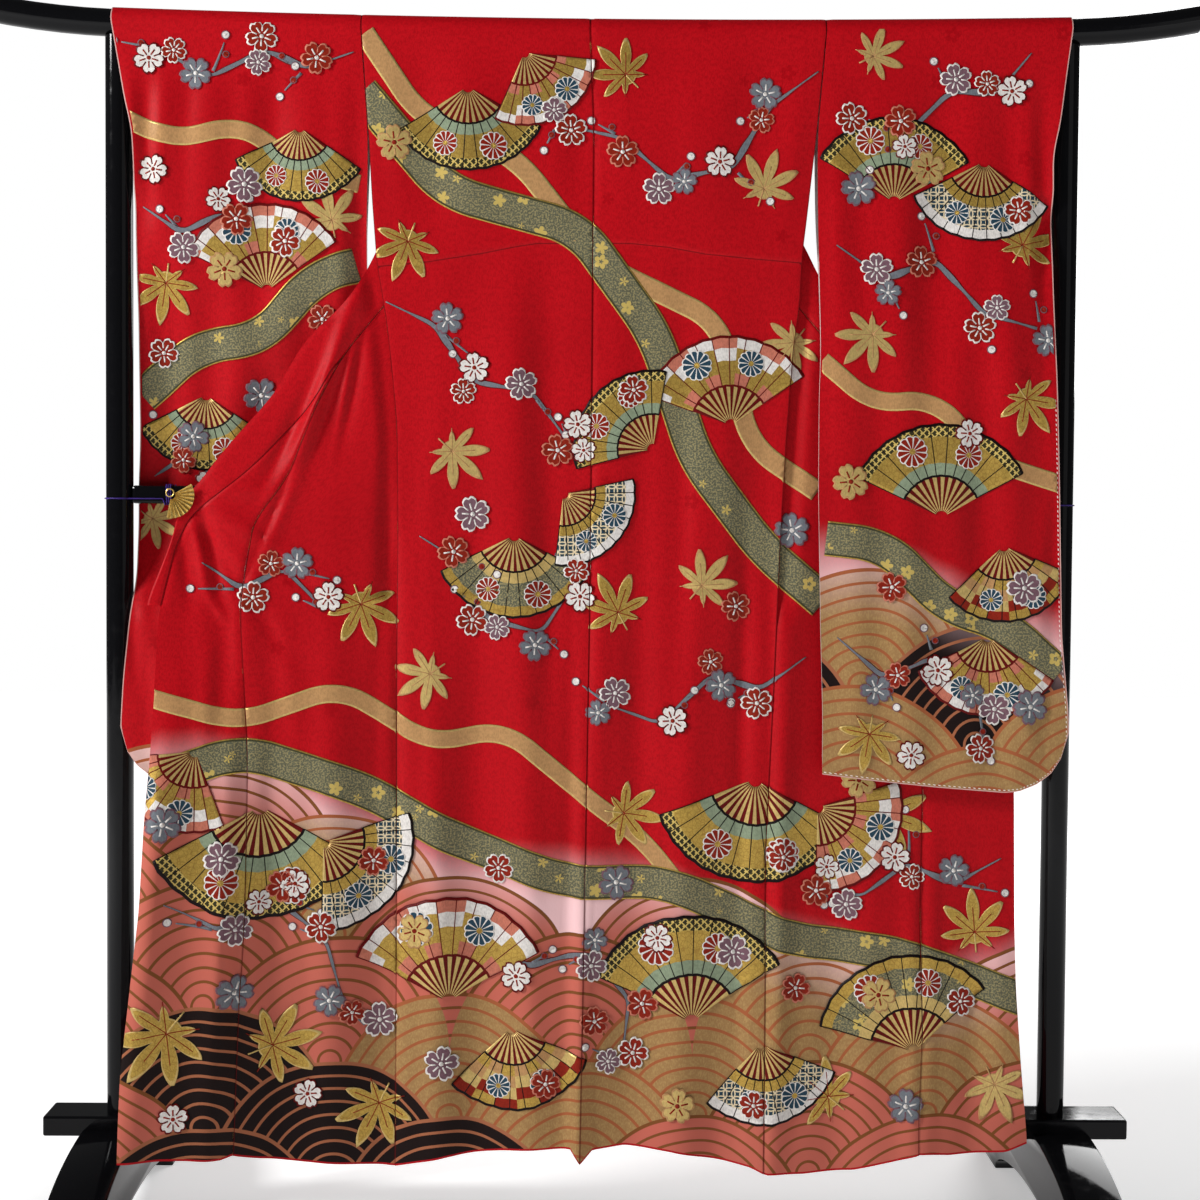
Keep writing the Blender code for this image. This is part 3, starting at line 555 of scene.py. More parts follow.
def feed(socket, value):
    """Links a value to a socket, or sets a constant on it."""
    if isinstance(value, Value):
        socket.id_data.links.new(value.socket, socket)
    elif socket.type == "RGBA":
        socket.default_value = (*value, 1.0)
    else:
        socket.default_value = value


def node(tree, kind, inputs, output=0, **settings):
    """Adds a node and gives the value of one of its outputs."""
    made = tree.nodes.new(f"ShaderNode{kind}")
    for name, setting in settings.items():
        setattr(made, name, setting)
    for name, value in inputs.items():
        feed(made.inputs[name], value)
    return Value(made.outputs[output])


def maths(operation, *values, clamp=False):
    tree = next(value.tree for value in values if isinstance(value, Value))
    return node(tree, "Math", dict(enumerate(values)), operation=operation, use_clamp=clamp)


def ramp(value, low, high):
    """0 below low, 1 above high, smooth between."""
    ends = {"Value": value, "From Min": low, "From Max": high}
    return node(value.tree, "MapRange", ends, "Result", interpolation_type="SMOOTHSTEP")


def blend(share, a, b):
    """Colour a where share is 0, colour b where it is 1."""
    return node(share.tree, "Mix", {0: share, 6: a, 7: b}, 2, data_type="RGBA")


def noise(place, scale, detail=2.0, output="Fac"):
    return node(place.tree, "TexNoise", {"Vector": place, "Scale": scale, "Detail": detail}, output)


def parts_of(vector):
    x = node(vector.tree, "SeparateXYZ", {0: vector}, "X")
    return x, x.other("Y"), x.other("Z")


def vector_of(x, y):
    return node(x.tree, "CombineXYZ", {0: x, 1: y})


def node_group(name, inputs, outputs):
    """A new group, what comes into it by name, and the sockets that its results go to."""
    made = bpy.data.node_groups.new(name, "ShaderNodeTree")
    for socket, kind in inputs.items():
        made.interface.new_socket(socket, in_out="INPUT", socket_type=f"NodeSocket{kind}")
    for socket in outputs:
        made.interface.new_socket(socket, in_out="OUTPUT", socket_type="NodeSocketFloat")
    source, result = made.nodes.new("NodeGroupInput"), made.nodes.new("NodeGroupOutput")
    return made, {socket: Value(source.outputs[socket]) for socket in inputs}, result.inputs


def use(group, **inputs):
    """Places a group and gives its outputs by name."""
    first = node(inputs["Place"].tree, "Group", inputs, node_tree=group)
    return {output.name: Value(output) for output in first.socket.node.outputs}


print("node helpers ready")

# %% Crepe grain, damask blossoms and ring net
crepe_group, given, result = node_group("crepe grain", {"Place": "Vector"}, ("Grain", "Height"))
stretched = node(crepe_group, "Mapping", {"Vector": given["Place"], "Scale": (1.0, 0.45, 1.0)})
yarn, mottle = noise(stretched, 520.0, 3.0), noise(given["Place"], 150.0)
feed(result["Grain"], yarn * 0.6 + mottle * 0.4)
feed(result["Height"], yarn)

damask_group, given, result = node_group("damask blossoms", {"Place": "Vector", "Size": "Float"}, ("Mask",))
cells = {"Scale": 17.0, "Randomness": 0.75, "Vector": given["Place"]}
cell = node(damask_group, "TexVoronoi", cells, "Position")
apart = node(damask_group, "VectorMath", {0: given["Place"], 1: cell}, operation="SUBTRACT")
length = node(damask_group, "VectorMath", {0: apart}, "Value", operation="LENGTH")
across, along, _ = parts_of(apart)
petals = abs(maths("COSINE", maths("ARCTAN2", along, across) * 2.5))
reach = maths("MULTIPLY_ADD", petals, 0.0042, 0.0052) * given["Size"]
chosen = parts_of(cell.other("Color"))[0] > 0.45
feed(result["Mask"], (length < reach) * (length > reach * 0.34) * chosen)

# the traditional net of overlapping rings, one cell a unit wide
net_group, given, result = node_group("ring net", {"Place": "Vector"}, ("Line",))
near = [abs(maths("FRACT", part) - 0.5) for part in parts_of(given["Place"])[:2]]
line = 0.0
for one, other in (near, near[::-1]):
    away = 1.0 - one
    from_ring = abs(maths("SQRT", away * away + other * other) - math.sqrt(0.5))
    line = maths("MAXIMUM", line, from_ring < 0.075)
feed(result["Line"], line)
print("crepe, damask and ring net groups ready")

# %% Wave scales
WAVE_R = 0.172
WAVE_RINGS = 9.0
# where the scales reach up to, for each place across the uncut silk. The line falls by less than half its
# run, or a scale would lack the two that lie in front of it
WAVE_TOP = {
    "u": (-2.70, -2.30, -0.68, -0.58, -0.46, -0.34, -0.20, -0.06, 0.08, 0.22, 0.36, 0.50, 0.68, 2.30, 2.40,
          2.50, 2.60, 2.70),
    "v": (0.00, 0.00, 0.50, 0.55, 0.53, 0.47, 0.40, 0.38, 0.38, 0.32, 0.26, 0.22, 0.27, 0.30, 0.31, 0.27,
          0.22, 0.18),
}


def wave_top(u):
    """The table above as a curve node, over u from -3 to 3."""
    top = node(u.tree, "FloatCurve", {"Value": maths("MULTIPLY_ADD", u, 1.0 / 6.0, 0.5)})
    mapping = top.socket.node.mapping
    points = mapping.curves[0].points
    points[0].location = (0.0, 0.0)
    points[1].location = (1.0, WAVE_TOP["v"][-1])
    for place, height in zip(WAVE_TOP["u"], WAVE_TOP["v"]):
        points.new(place / 6.0 + 0.5, height).handle_type = "VECTOR"
    mapping.update()
    return top


wave_group, given, result = node_group("wave scales", {"Place": "Vector"},
                                       ("Covered", "Line", "Chance", "Glow", "Low", "Across"))
uneven = {0: noise(given["Place"], 3.2, 1.0, "Color"), 1: (0.045, 0.045, 0.0), 2: given["Place"]}
u, v, _ = parts_of(node(wave_group, "VectorMath", uneven, operation="MULTIPLY_ADD"))
row_step = WAVE_R / 2.0
row = maths("FLOOR", v / row_step)
picked = {"reach": 0.0, "u": 0.0, "v": 0.0}
covered = 0.0
for back in (-1.0, 0.0, 1.0):
    this_row = row - back
    offset = maths("FLOORED_MODULO", this_row, 2.0) * WAVE_R
    step = maths("ROUND", (u - offset) / (2.0 * WAVE_R))
    middle_u, middle_v = maths("MULTIPLY_ADD", step, 2.0 * WAVE_R, offset), this_row * row_step
    away_u, away_v = u - middle_u, v - middle_v
    reach = maths("SQRT", away_u * away_u + away_v * away_v) / WAVE_R
    here = (reach < 1.0) * (middle_v + 0.36 * WAVE_R < wave_top(middle_u))
    for key, value in (("reach", reach), ("u", middle_u), ("v", middle_v)):
        picked[key] = maths("MULTIPLY_ADD", value - picked[key], here, picked[key])
    covered = maths("MAXIMUM", covered, here)
line = maths("FRACT", picked["reach"] * WAVE_RINGS) > 0.79
numbers = {"Vector": vector_of(picked["u"], picked["v"])}
wisp = (noise(given["Place"], 7.0) - 0.5) * 0.05
glow = 1.0 - ramp(v - wave_top(u) + wisp, 0.0, 0.105)
feed(result["Covered"], covered)
feed(result["Line"], maths("MAXIMUM", line, picked["reach"] > 0.97))
feed(result["Chance"], node(wave_group, "TexWhiteNoise", numbers, "Value", noise_dimensions="2D"))
feed(result["Glow"], glow * (wave_top(u) > 0.02))
feed(result["Low"], picked["v"])
feed(result["Across"], picked["u"])
print("wave group has", len(wave_group.nodes), "nodes")

# %% The dyed cloth and its lining
RED, DEEP_RED = (0.500, 0.0036, 0.0090), (0.285, 0.0010, 0.0042)
# SEAM_SHADE_RED is painted shade: the dark line that stands for a seam's groove lying in shadow
SEAM_SHADE_RED, HEM_RED = (0.110, 0.0014, 0.0028), (0.42, 0.005, 0.010)
PIPING, WHITE_THREAD = (0.62, 0.36, 0.33), (0.85, 0.80, 0.74)
MIST, GILT_DUST = (0.87, 0.56, 0.57), (0.62, 0.42, 0.16)
SALMON, OCHRE, BLACK = (0.53, 0.130, 0.092), (0.335, 0.190, 0.075), (0.012, 0.006, 0.0055)
SALMON_LINE, OCHRE_LINE, BLACK_LINE = (0.20, 0.070, 0.020), (0.36, 0.105, 0.040), (0.36, 0.125, 0.060)
LINING, LINING_HEM = (0.74, 0.66, 0.64), (0.50, 0.012, 0.016)


def dress(shader, values):
    for name, value in values.items():
        feed(shader.inputs[name], value)


def plain(name, colour, roughness):
    """A new material and its shader."""
    made = bpy.data.materials.new(name)
    made.use_nodes = True
    shader = made.node_tree.nodes["Principled BSDF"]
    dress(shader, {"Base Color": colour, "Roughness": roughness})
    return made, shader


def bump(shader, height, strength, distance):
    lift = {"Strength": strength, "Distance": distance, "Height": height}
    feed(shader.inputs["Normal"], node(shader.id_data, "Bump", lift, "Normal"))


def object_place(made):
    return node(made.node_tree, "TexCoord", {}, "Object")


def sewn(colour, place):
    """Adds a dark line of painted shade along each seam and the tuck, the rolled edges, and white tacking
    thread near the right sleeve's edge.
    """
    seam, rim = (node(place.tree, "Attribute", {}, "Fac", attribute_name=name) for name in ("seam", "rim"))
    u, v, _ = parts_of(place)
    on_sleeve = abs(u) > 1.5
    edge_width = maths("MULTIPLY_ADD", on_sleeve, -0.0013, 0.0028)
    colour = blend(rim < edge_width, colour, blend(on_sleeve, HEM_RED, PIPING))
    dashes = maths("FRACT", (u + v) * 150.0) < 0.45
    tacked = dashes * (abs(rim - 0.0034) < 0.0006) * (u > 1.5)
    colour = blend(tacked * (v < 0.56), colour, WHITE_THREAD)
    # the dark line at the seams, the waist tuck and the collar's inner edge is painted shade
    return blend((1.0 - ramp(seam, 0.0003, 0.0016)) * 0.80, colour, SEAM_SHADE_RED)


def finish_silk(shader, colour, height, roughness, sheen=0.03):
    dress(shader, {"Base Color": colour, "Roughness": roughness, "Specular IOR Level": 0.08,
                   "Sheen Weight": sheen, "Sheen Roughness": 0.35, "Sheen Tint": (1.0, 0.35, 0.30)})
    bump(shader, height, 0.30, 0.0006)


def dyed_silk():
    made, shader = plain("dyed silk", RED, 0.45)
    place = node(made.node_tree, "UVMap", {}, uv_map="cut")
    crepe, waves = use(crepe_group, Place=place), use(wave_group, Place=place)
    blossoms = use(damask_group, Place=place, Size=1.25)["Mask"]
    ground = blend(ramp(crepe["Grain"], 0.60, 0.36) * 0.55, RED, DEEP_RED)
    ground = blend(blossoms * 0.45, ground, DEEP_RED)
    # broad soft patches of deeper red: painted sheen, standing in for the uneven lustre of satin
    ground = blend(ramp(noise(place, 4.0), 0.40, 0.70) * 0.22, ground, DEEP_RED)
    ground = blend(waves["Glow"], ground, MIST)
    u, v, _ = parts_of(place)
    sleeve = u > 1.5
    is_ochre = maths("MAXIMUM", waves["Chance"] > 0.60, sleeve)
    left = maths("MULTIPLY_ADD", abs(waves["Across"] + 0.42), -0.75, 0.20) > waves["Low"]
    is_black = maths("MAXIMUM", left, sleeve * (abs(waves["Low"] - 0.09) < 0.05))
    dusted = maths("SUBTRACT", is_ochre, is_black, clamp=True) * (ramp(crepe["Grain"], 0.42, 0.66) * 0.30)
    face = blend(is_black, blend(is_ochre, SALMON, OCHRE), BLACK)
    face = blend(dusted, face, GILT_DUST)
    face = blend(ramp(v - wave_top(u), -0.075, 0.09) * 0.85, face, MIST)
    face = blend(waves["Line"], face, blend(is_black, blend(is_ochre, SALMON_LINE, OCHRE_LINE), BLACK_LINE))
    colour = sewn(blend(waves["Covered"], ground, face), place)
    finish_silk(shader, colour, crepe["Height"], maths("MULTIPLY_ADD", blossoms, -0.08, 0.48))
    return made


def lining_silk():
    made, shader = plain("silk lining", LINING, 0.5)
    place = node(made.node_tree, "UVMap", {}, uv_map="cut")
    u, v, _ = parts_of(place)
    colour = blend((v < 0.16) * (abs(u) < 1.2), LINING, LINING_HEM)
    finish_silk(shader, colour, use(crepe_group, Place=place)["Height"], 0.5, 0.0)
    return made


LINED = (dyed_silk(), lining_silk())
print("silk made")

# %% [markdown]
# ## The back
# Two straight widths of silk meet in the centre seam and run from the rod to the hem. The waist tuck is a
# fold of spare length sewn across the back at the waist, so its lower edge stands a little off the cloth
# below it. The hem isn't straight: each fold lifts or drops it.


# %% Back panels
def back_depth(x, z):
    """The hanging cloth, with the waist tuck's step; the tuck lies on the cloth below it."""
    tuck = read(TUCK, "z", x, "x")
    return skirt(x, z) - 0.0014 * smooth((z - tuck + TUCK_LAP) / TUCK_LAP) * smooth((tuck + 0.10 - z) / 0.10)


def back_panel(side):
    sign = SIGN[side]
    stations, levels = (0.0, 0.035, 0.22, 0.237, 1.0), (0.0, 1.0, 2.0, 3.0, 4.0)

    def place(across, down):
        level = np.interp(down, stations, levels)
        share = columns_of(across, 46, 0.30)
        z = np.full_like(level, HIGHEST)
        lap = SEAM_LAP if sign > 0 else 0.0
        for _ in range(4):
            edge, seam = sign * read(BODY[side]["side"], "x", z), read(CENTRE, "x", z)
            x = mix(edge, seam - lap, share)
            top, tuck, hem = rod_height(x), read(TUCK, "z", x, "x"), read(HEM, "z", x, "x")
            upper = mix(top, tuck, np.clip(level - 1.0, 0.0, 1.0))
            fall = mix(tuck - TUCK_LAP, hem, level - 3.0)
            lower = np.where(level < 3.0, mix(tuck, tuck - TUCK_LAP, level - 2.0), fall)
            z = np.where(level < 2.0, upper, lower)
        drop = (under(x - seam) if sign > 0 else over(seam - x)) + over(np.abs(edge - x))
        # the tuck's lower edge counts as a seam here, so it gets the same painted line of shade
        near = np.minimum(np.abs(x - seam), np.minimum(np.abs(edge - x), np.abs(z - tuck + 0.0035) + 0.0002))
        return laid(x, back_depth(x, z), z, np.minimum(level, 1.0) * ARC, -1.0, drop, seam=near, rim=z - hem)

    silk_piece(f"back_{side}", 46, 230, place, f"back_{side}_top")


for side in SIGN:
    back_panel(side)
print("back", len(SILK_PIECES["back_left"].data.polygons), "faces a side")

# %% [markdown]
# ## The fronts
# Each front starts on the rod beside the neck, hangs behind the back and is folded on itself there. Then it
# comes out past the side seam and is drawn to the clip on the left, or lies behind the sleeve on the right.
# The overlap panel, or okumi, is the narrow width sewn to it, cut to a point under the collar.


# %% Shoulders, fronts, overlap panels
def shoulder_panel(side):
    sign, body = SIGN[side], BODY[side]

    def place(across, down):
        run = np.clip(down / 0.06, 0.0, 1.0)
        z = np.where(run < 1.0, ROD_AXIS, mix(1.728, FOLD_END, (down - 0.06) / 0.94))
        edge = read(body["side"], "x", z)
        x = sign * mix(edge, edge - turned(body, z) + 0.0006, across)
        return laid(x, behind(x, z, 1), z, run * ARC, 1.0, 0.0)

    silk_piece(f"shoulder_{side}", 14, 80, place)


def front_panel(side):
    sign, body = SIGN[side], BODY[side]

    def place(across, down):
        share = columns_of(across, 42, 0.225)
        z = np.full_like(down, 0.5)
        for _ in range(4):
            edge, seam = read(body["side"], "x", z), read(body["seam"], "x", z)
            x = sign * mix(edge - turned(body, z) - SEAM_LAP, seam, share)
            z = mix(TOP_Z, read(HEM, "z", x, "x"), down)
        drop = under(np.abs(x) - edge) * (1.0 - smooth((z - OPEN_Z) / 0.04)) + over(seam - np.abs(x))
        near = np.minimum(np.abs(np.abs(x) - edge), np.abs(seam - np.abs(x)))
        made = laid(x, drawn(body, x, z), z, np.full_like(z, 1.0), -1.0, drop, seam=near,
                    rim=z - read(HEM, "z", x, "x"))
        return *made[:5], x + sign * 2.0 * turned(body, z), *made[6:]

    silk_piece(f"front_{side}", 42, 210, place)


def okumi_panel(side):
    sign, body = SIGN[side], BODY[side]

    def place(across, down):
        share = columns_of(across, 26, 0.13)
        z = np.full_like(down, 0.5)
        for _ in range(4):
            high = z > COLLAR_END
            outer = np.where(high, collar_line(body, z) + 0.0025, read(body["front_edge"], "x", z))
            seam = read(body["seam"], "x", z)
            x = sign * mix(seam - SEAM_LAP, outer, share)
            z = mix(OKUMI_TOP, read(HEM, "z", x, "x"), down)
        drop = under(np.abs(x) - seam) + np.where(high, under(outer - 0.0025 - np.abs(x)), 0.0)
        at_collar = np.where(high, np.abs(outer - 0.0025 - np.abs(x)), FAR)
        near = np.minimum(np.abs(np.abs(x) - seam), at_collar)
        return laid(x, drawn(body, x, z), z, np.full_like(z, 1.0), -1.0, drop, seam=near,
                    rim=z - read(HEM, "z", x, "x"))

    silk_piece(f"okumi_{side}", 26, 170, place)


for side in SIGN:
    shoulder_panel(side)
    front_panel(side)
    okumi_panel(side)
print("pieces so far", {name: len(piece.data.polygons) for name, piece in SILK_PIECES.items()})

# %% [markdown]
# ## The collar
# A furisode's collar is an 11 cm band folded in half. It runs along both fronts and round the neck, where it
# lies on the rod's far side. On the left it shows its plain red face from the waist to the clip.


# %% Collar
def collar_band(side):
    sign, body = SIGN[side], BODY[side]

    def place(across, down):
        z = mix(TOP_Z, COLLAR_END + 0.0003, down)
        inner = collar_line(body, z)
        outer = np.maximum(read(body["edge"], "x", z), inner + 0.004)
        x = sign * mix(inner, outer, across)
        wide = outer - inner
        drop = 0.0010 * (1.0 - smooth(across * wide / 0.006)) + 0.0012 * smooth((across - 0.85) / 0.15)
        return laid(x, drawn(body, x, z), z, np.full_like(z, 1.0), -1.0, drop, seam=np.abs(x) - inner)

    silk_piece(f"collar_{side}", 16, 120, place, wall=0.0020)


def neck_band():
    def place(across, down):
        share = np.maximum(down * 2.0 - 1.0, 0.0)
        x = (2.0 * across - 1.0) * (0.1005 + 0.0105 * share)
        run = np.minimum(down * 2.0, 1.0) * ARC
        bottom = 1.674 + 0.006 * np.cos(2.0 * math.pi * across)
        drop = 0.0018 * smooth((np.abs(2.0 * across - 1.0) - 0.93) / 0.05)
        return laid(x, ON_ROD + 0.004 * share, mix(rod_height(x), bottom, share), run, 1.0, drop)

    silk_piece("collar_neck", 24, 16, place)


for side in SIGN:
    collar_band(side)
neck_band()
print("collar", len(SILK_PIECES["collar_left"].data.polygons), "faces a side")

# %% [markdown]
# ## The sleeves
# Furisode means swinging sleeves. Each is one width of silk folded at the bottom, over a metre long, closed
# on the outer edge below the cuff and rounded at the outer corner. The rod goes in at one cuff and out at
# the other. The left sleeve passes behind the rail, the right one hangs in front of it.


# %% Sleeves
def sleeve_layer(side, facing):
    sign, edge = SIGN[side], SLEEVE_EDGE[side]

    def place(across, down):
        share = 1.0 - (1.0 - across) ** 1.4
        low = read(SLEEVE_HEM, side, share, "share")
        run = np.clip(down / 0.05, 0.0, 1.0)
        z = np.full_like(down, HIGHEST)
        for _ in range(4):
            out = mix(read(edge, "inner", z), read(edge, "outer", z), share)
            x = sign * out
            z = mix(rod_height(x), low, np.maximum(0.0, (down - 0.05) / 0.95))
        drop = 0.0006 * np.clip(1.0 - share * 0.33 / 0.004, 0.0, 1.0) ** 2
        rim, depth = np.minimum(read(edge, "outer", z) - out, z - low), sleeve_depth(side, facing, x, z)
        return laid(x, depth, z, run * ARC, facing, drop, 2.0 * sign, 0.64, rim=rim)

    name = f"sleeve_{side}_{'back' if facing < 0 else 'front'}"
    columns, rows = (48, 150) if facing < 0 else (30, 90)
    silk_piece(name, columns, rows, place)


for side in SIGN:
    for facing in (-1.0, 1.0):
        sleeve_layer(side, facing)
print("sleeves", len(SILK_PIECES["sleeve_left_back"].data.polygons), "faces for a near layer")

# %% How the uncut pieces measure
FLATS = {
    "back": (0.30, 1.68), "front": (0.235, 1.62), "okumi": (0.15, 1.11), "collar": (0.057, 0.85),
    "shoulder": (0.14, 0.75), "sleeve": (0.37, 1.11),
}
for name, piece in SILK_PIECES.items():
    flat = (0.205, 0.088) if name == "collar_neck" else FLATS[name.split("_")[0]]
print(len(SILK_PIECES), "sheets, hung on the rod")

# %% [markdown]
# ## Painting on the cloth
# Yuzen dyers draw each motif's outline in resist paste and fill it by brush; gold leaf and couched thread
# come last. Here each motif is a thin film on the cloth, made from small grids bent to its outline, with one
# ink a face. The design is a traditional one of folding fans, cherry blossom, maple and chrysanthemums among
# flowing brocade bands. It keeps the photograph's colours and scale but not its composition.

# %% Inks
INK_COLOURS = {
    "white": (0.78, 0.74, 0.70), "black": (0.010, 0.006, 0.006), "gold": (0.52, 0.34, 0.075),
    "pale_gold": (0.62, 0.44, 0.16), "tan": (0.50, 0.275, 0.115), "slate": (0.175, 0.190, 0.215),
    "mauve": (0.19, 0.10, 0.125), "rust": (0.26, 0.018, 0.008), "maroon": (0.13, 0.006, 0.006),
    "blue": (0.024, 0.060, 0.092), "sage": (0.27, 0.33, 0.22), "salmon": (0.56, 0.18, 0.12),
    "brocade": (0.125, 0.125, 0.082), "deep_olive": (0.060, 0.058, 0.026),
    "net": (0.024, 0.055, 0.080), "lattice": (0.040, 0.036, 0.016),
}
METAL = {"gold": 0.50, "pale_gold": 0.40}
OLIVE_THREAD, GOLD_THREAD, GOLD_LATTICE = (0.36, 0.30, 0.14), (0.60, 0.44, 0.12), (0.60, 0.44, 0.13)
NET_LINE, GOLD_CRACK = (0.70, 0.58, 0.38), (0.26, 0.13, 0.03)


def ink_material(name, colour):
    made, shader = plain(f"ink {name}", colour, 0.42)
    x, _, z = parts_of(object_place(made))
    place = vector_of(x, z)
    crepe = use(crepe_group, Place=place)
    shade = tuple(0.55 * part for part in colour)
    shaded = blend(ramp(crepe["Grain"], 0.62, 0.36) * 0.50, colour, shade)
    if name == "brocade":
        shaded = blend(ramp(noise(place, 380.0, 3.0), 0.47, 0.58) * 0.70, shaded, OLIVE_THREAD)
        blossoms = use(damask_group, Place=vector_of(x * 2.0, z * 2.0), Size=2.3)["Mask"]
        shaded = blend(blossoms * 0.90, shaded, GOLD_THREAD)
    if name == "net":
        shaded = blend(use(net_group, Place=vector_of(x * 85.0, z * 85.0))["Line"], shaded, NET_LINE)
    if name == "lattice":
        slants = [maths("FRACT", slant * 90.0) for slant in (x + z, x - z)]
        threads = maths("MAXIMUM", *[slant < 0.20 for slant in slants])
        dots = maths("MULTIPLY", *[slant > 0.72 for slant in slants])
        shaded = blend(maths("MAXIMUM", threads, dots), shaded, GOLD_LATTICE)
    if name == "gold":
        cells = {"Scale": 150.0, "Vector": place}
        crack = node(made.node_tree, "TexVoronoi", cells, "Distance", feature="DISTANCE_TO_EDGE") < 0.05
        shaded = blend(crack * 0.50, shaded, GOLD_CRACK)
    finish_silk(shader, shaded, crepe["Height"], 0.40, 0.0)
    feed(shader.inputs["Metallic"], METAL.get(name, 0.0))
    return made


INKS = {name: ink_material(name, colour) for name, colour in INK_COLOURS.items()}
INK_ORDER = list(INKS)
print(len(INKS), "inks")

# %% Drawing tools: every motif is a grid that is bent to a shape in the view from the front
FILM_CELL = 0.0080
PANEL_SPAN = {"back": (-0.020, 0.355), "front": (0.240, 0.520), "okumi": (0.240, 0.680)}
PANELS = [f"{kind}_{side}" for kind in PANEL_SPAN for side in SIGN]
DRAWINGS = {name: bmesh.new() for name in (*PANELS, "sleeve_left", "sleeve_right")}
PATCH = bpy.data.meshes.new("patch")


def reached(name, x):
    """Whether this panel of the body lies behind any of these places."""
    kind, side = name.split("_")
    out, (low, high) = SIGN[side] * x, PANEL_SPAN[kind]
    return out.max() > low and out.min() < high


def refined(spans):
    """Cuts each part of a unit run into cells no longer than FILM_CELL; also names the part of each cell."""
    counts = [max(1, math.ceil(span / FILM_CELL)) for span in spans]
    owners = [part for part, count in enumerate(counts) for _ in range(count)]
    stops = [(part + (step + 1) / count) / len(counts)
             for part, count in enumerate(counts) for step in range(count)]
    return np.array([0.0, *stops]), owners


def draw(cloth, columns, rows, place, ink, lift):
    """place(across, up) gives x and z; ink(column, row) names the colour; lift keeps films apart. What is
    drawn on the body is drawn on each panel that it crosses, with a slit at the seam between them."""
    shares, ups = np.meshgrid(np.linspace(0.0, 1.0, columns + 1), np.linspace(0.0, 1.0, rows + 1))
    x, z = (part.reshape(shares.shape) for part in place(shares.ravel(), ups.ravel()))
    across_stops, column_of = refined(np.hypot(np.diff(x, axis=1), np.diff(z, axis=1)).max(axis=0))
    up_stops, row_of = refined(np.hypot(np.diff(x, axis=0), np.diff(z, axis=0)).max(axis=1))
    bm = bmesh.new()
    bmesh.ops.create_grid(bm, x_segments=len(column_of), y_segments=len(row_of), size=0.5)
    for face in bm.faces:
        middle = face.calc_center_median()
        column, row = int((middle.x + 0.5) * len(column_of)), int((middle.y + 0.5) * len(row_of))
        face.material_index = INK_ORDER.index(ink(column_of[column], row_of[row]))
    flat = np.array([vert.co[:2] for vert in bm.verts]) + 0.5
    across = np.interp(flat[:, 0] * len(column_of), np.arange(len(across_stops)), across_stops)
    up = np.interp(flat[:, 1] * len(row_of), np.arange(len(up_stops)), up_stops)
    for vert, px, pz in zip(bm.verts, *place(across, up)):
        vert.co = (px, lift, pz)
    bm.to_mesh(PATCH)
    bm.free()
    for name in PANELS if cloth == "body" else (cloth,):
        if cloth != "body" or reached(name, x):
            DRAWINGS[name].from_mesh(PATCH)


def disc(cloth, x, z, radii, columns, inks, lift, outline=None, start=0.0, spread=2.0 * math.pi):
    """Rings round a middle; outline(angle) scales them all."""
    steps = np.linspace(0.0, 1.0, len(radii))

    def place(across, up):
        angle = start + across * spread
        reach = np.interp(up, steps, radii) * (1.0 if outline is None else outline(across * spread))
        return x + reach * np.cos(angle), z + reach * np.sin(angle)

    ink = inks if callable(inks) else lambda column, row: inks[row]
    draw(cloth, columns, len(radii) - 1, place, ink, lift)


def band(cloth, points, width, inks, edges, lift, rows=None, taper=1.0, knots=0.0, start=1.0, soften=0.04):
    """A ribbon along a smooth line through the points; at the edges, shares of its width, inks change."""
    points = np.array(points, float)
    run = np.concatenate(([0.0], np.cumsum(np.hypot(*np.diff(points, axis=0).T))))
    rows = rows or max(2, int(run[-1] / 0.007))

    def line(at):
        return np.array([np.interp(at, run, points[:, 0]), np.interp(at, run, points[:, 1])])

    def soft(at):
        steps = np.linspace(-soften, soften, 9)
        return sum(line(np.clip(at + step, 0.0, run[-1])) for step in steps) / 9.0

    def place(across, up):
        at = up * run[-1]
        middle, ahead = soft(at), soft(at + 0.003) - soft(at - 0.003)
        ahead = ahead / np.maximum(np.hypot(*ahead), 1e-9)
        wide = width * mix(1.0, taper, up) * mix(start, 1.0, smooth(up / 0.35))
        wide = wide * (1.0 + knots * np.sin(at * 130.0) + knots * np.sin(at * 71.0 + 1.0))
        side = (np.interp(across * len(inks), np.arange(len(inks) + 1), edges) - 0.5) * wide
        return middle[0] - ahead[1] * side, middle[1] + ahead[0] * side

    draw(cloth, len(inks), rows, place, lambda column, row: inks[column], lift)


def spokes(cloth, x, z, inner, outer, angles, width, ink, lift):
    """Thin straight lines from the middle outwards."""
    for angle in angles:
        ahead, side = (math.cos(angle), math.sin(angle)), (-math.sin(angle), math.cos(angle))

        def place(across, up, ahead=ahead, side=side):
            reach, off = mix(inner, outer, up), (across - 0.5) * width
            return x + reach * ahead[0] + off * side[0], z + reach * ahead[1] + off * side[1]

        draw(cloth, 1, 1, place, lambda column, row: ink, lift)


print("drawing tools ready")

# %% Motifs
def cherry(angle):
    """Five petals, each with the notch that tells a cherry from a plum."""
    petal = (angle / (2.0 * math.pi) * 5.0) % 1.0
    round_part = 0.62 + 0.38 * np.sin(math.pi * petal) ** 0.55
    return round_part - 0.13 * np.exp(-(((petal - 0.5) / 0.07) ** 2))


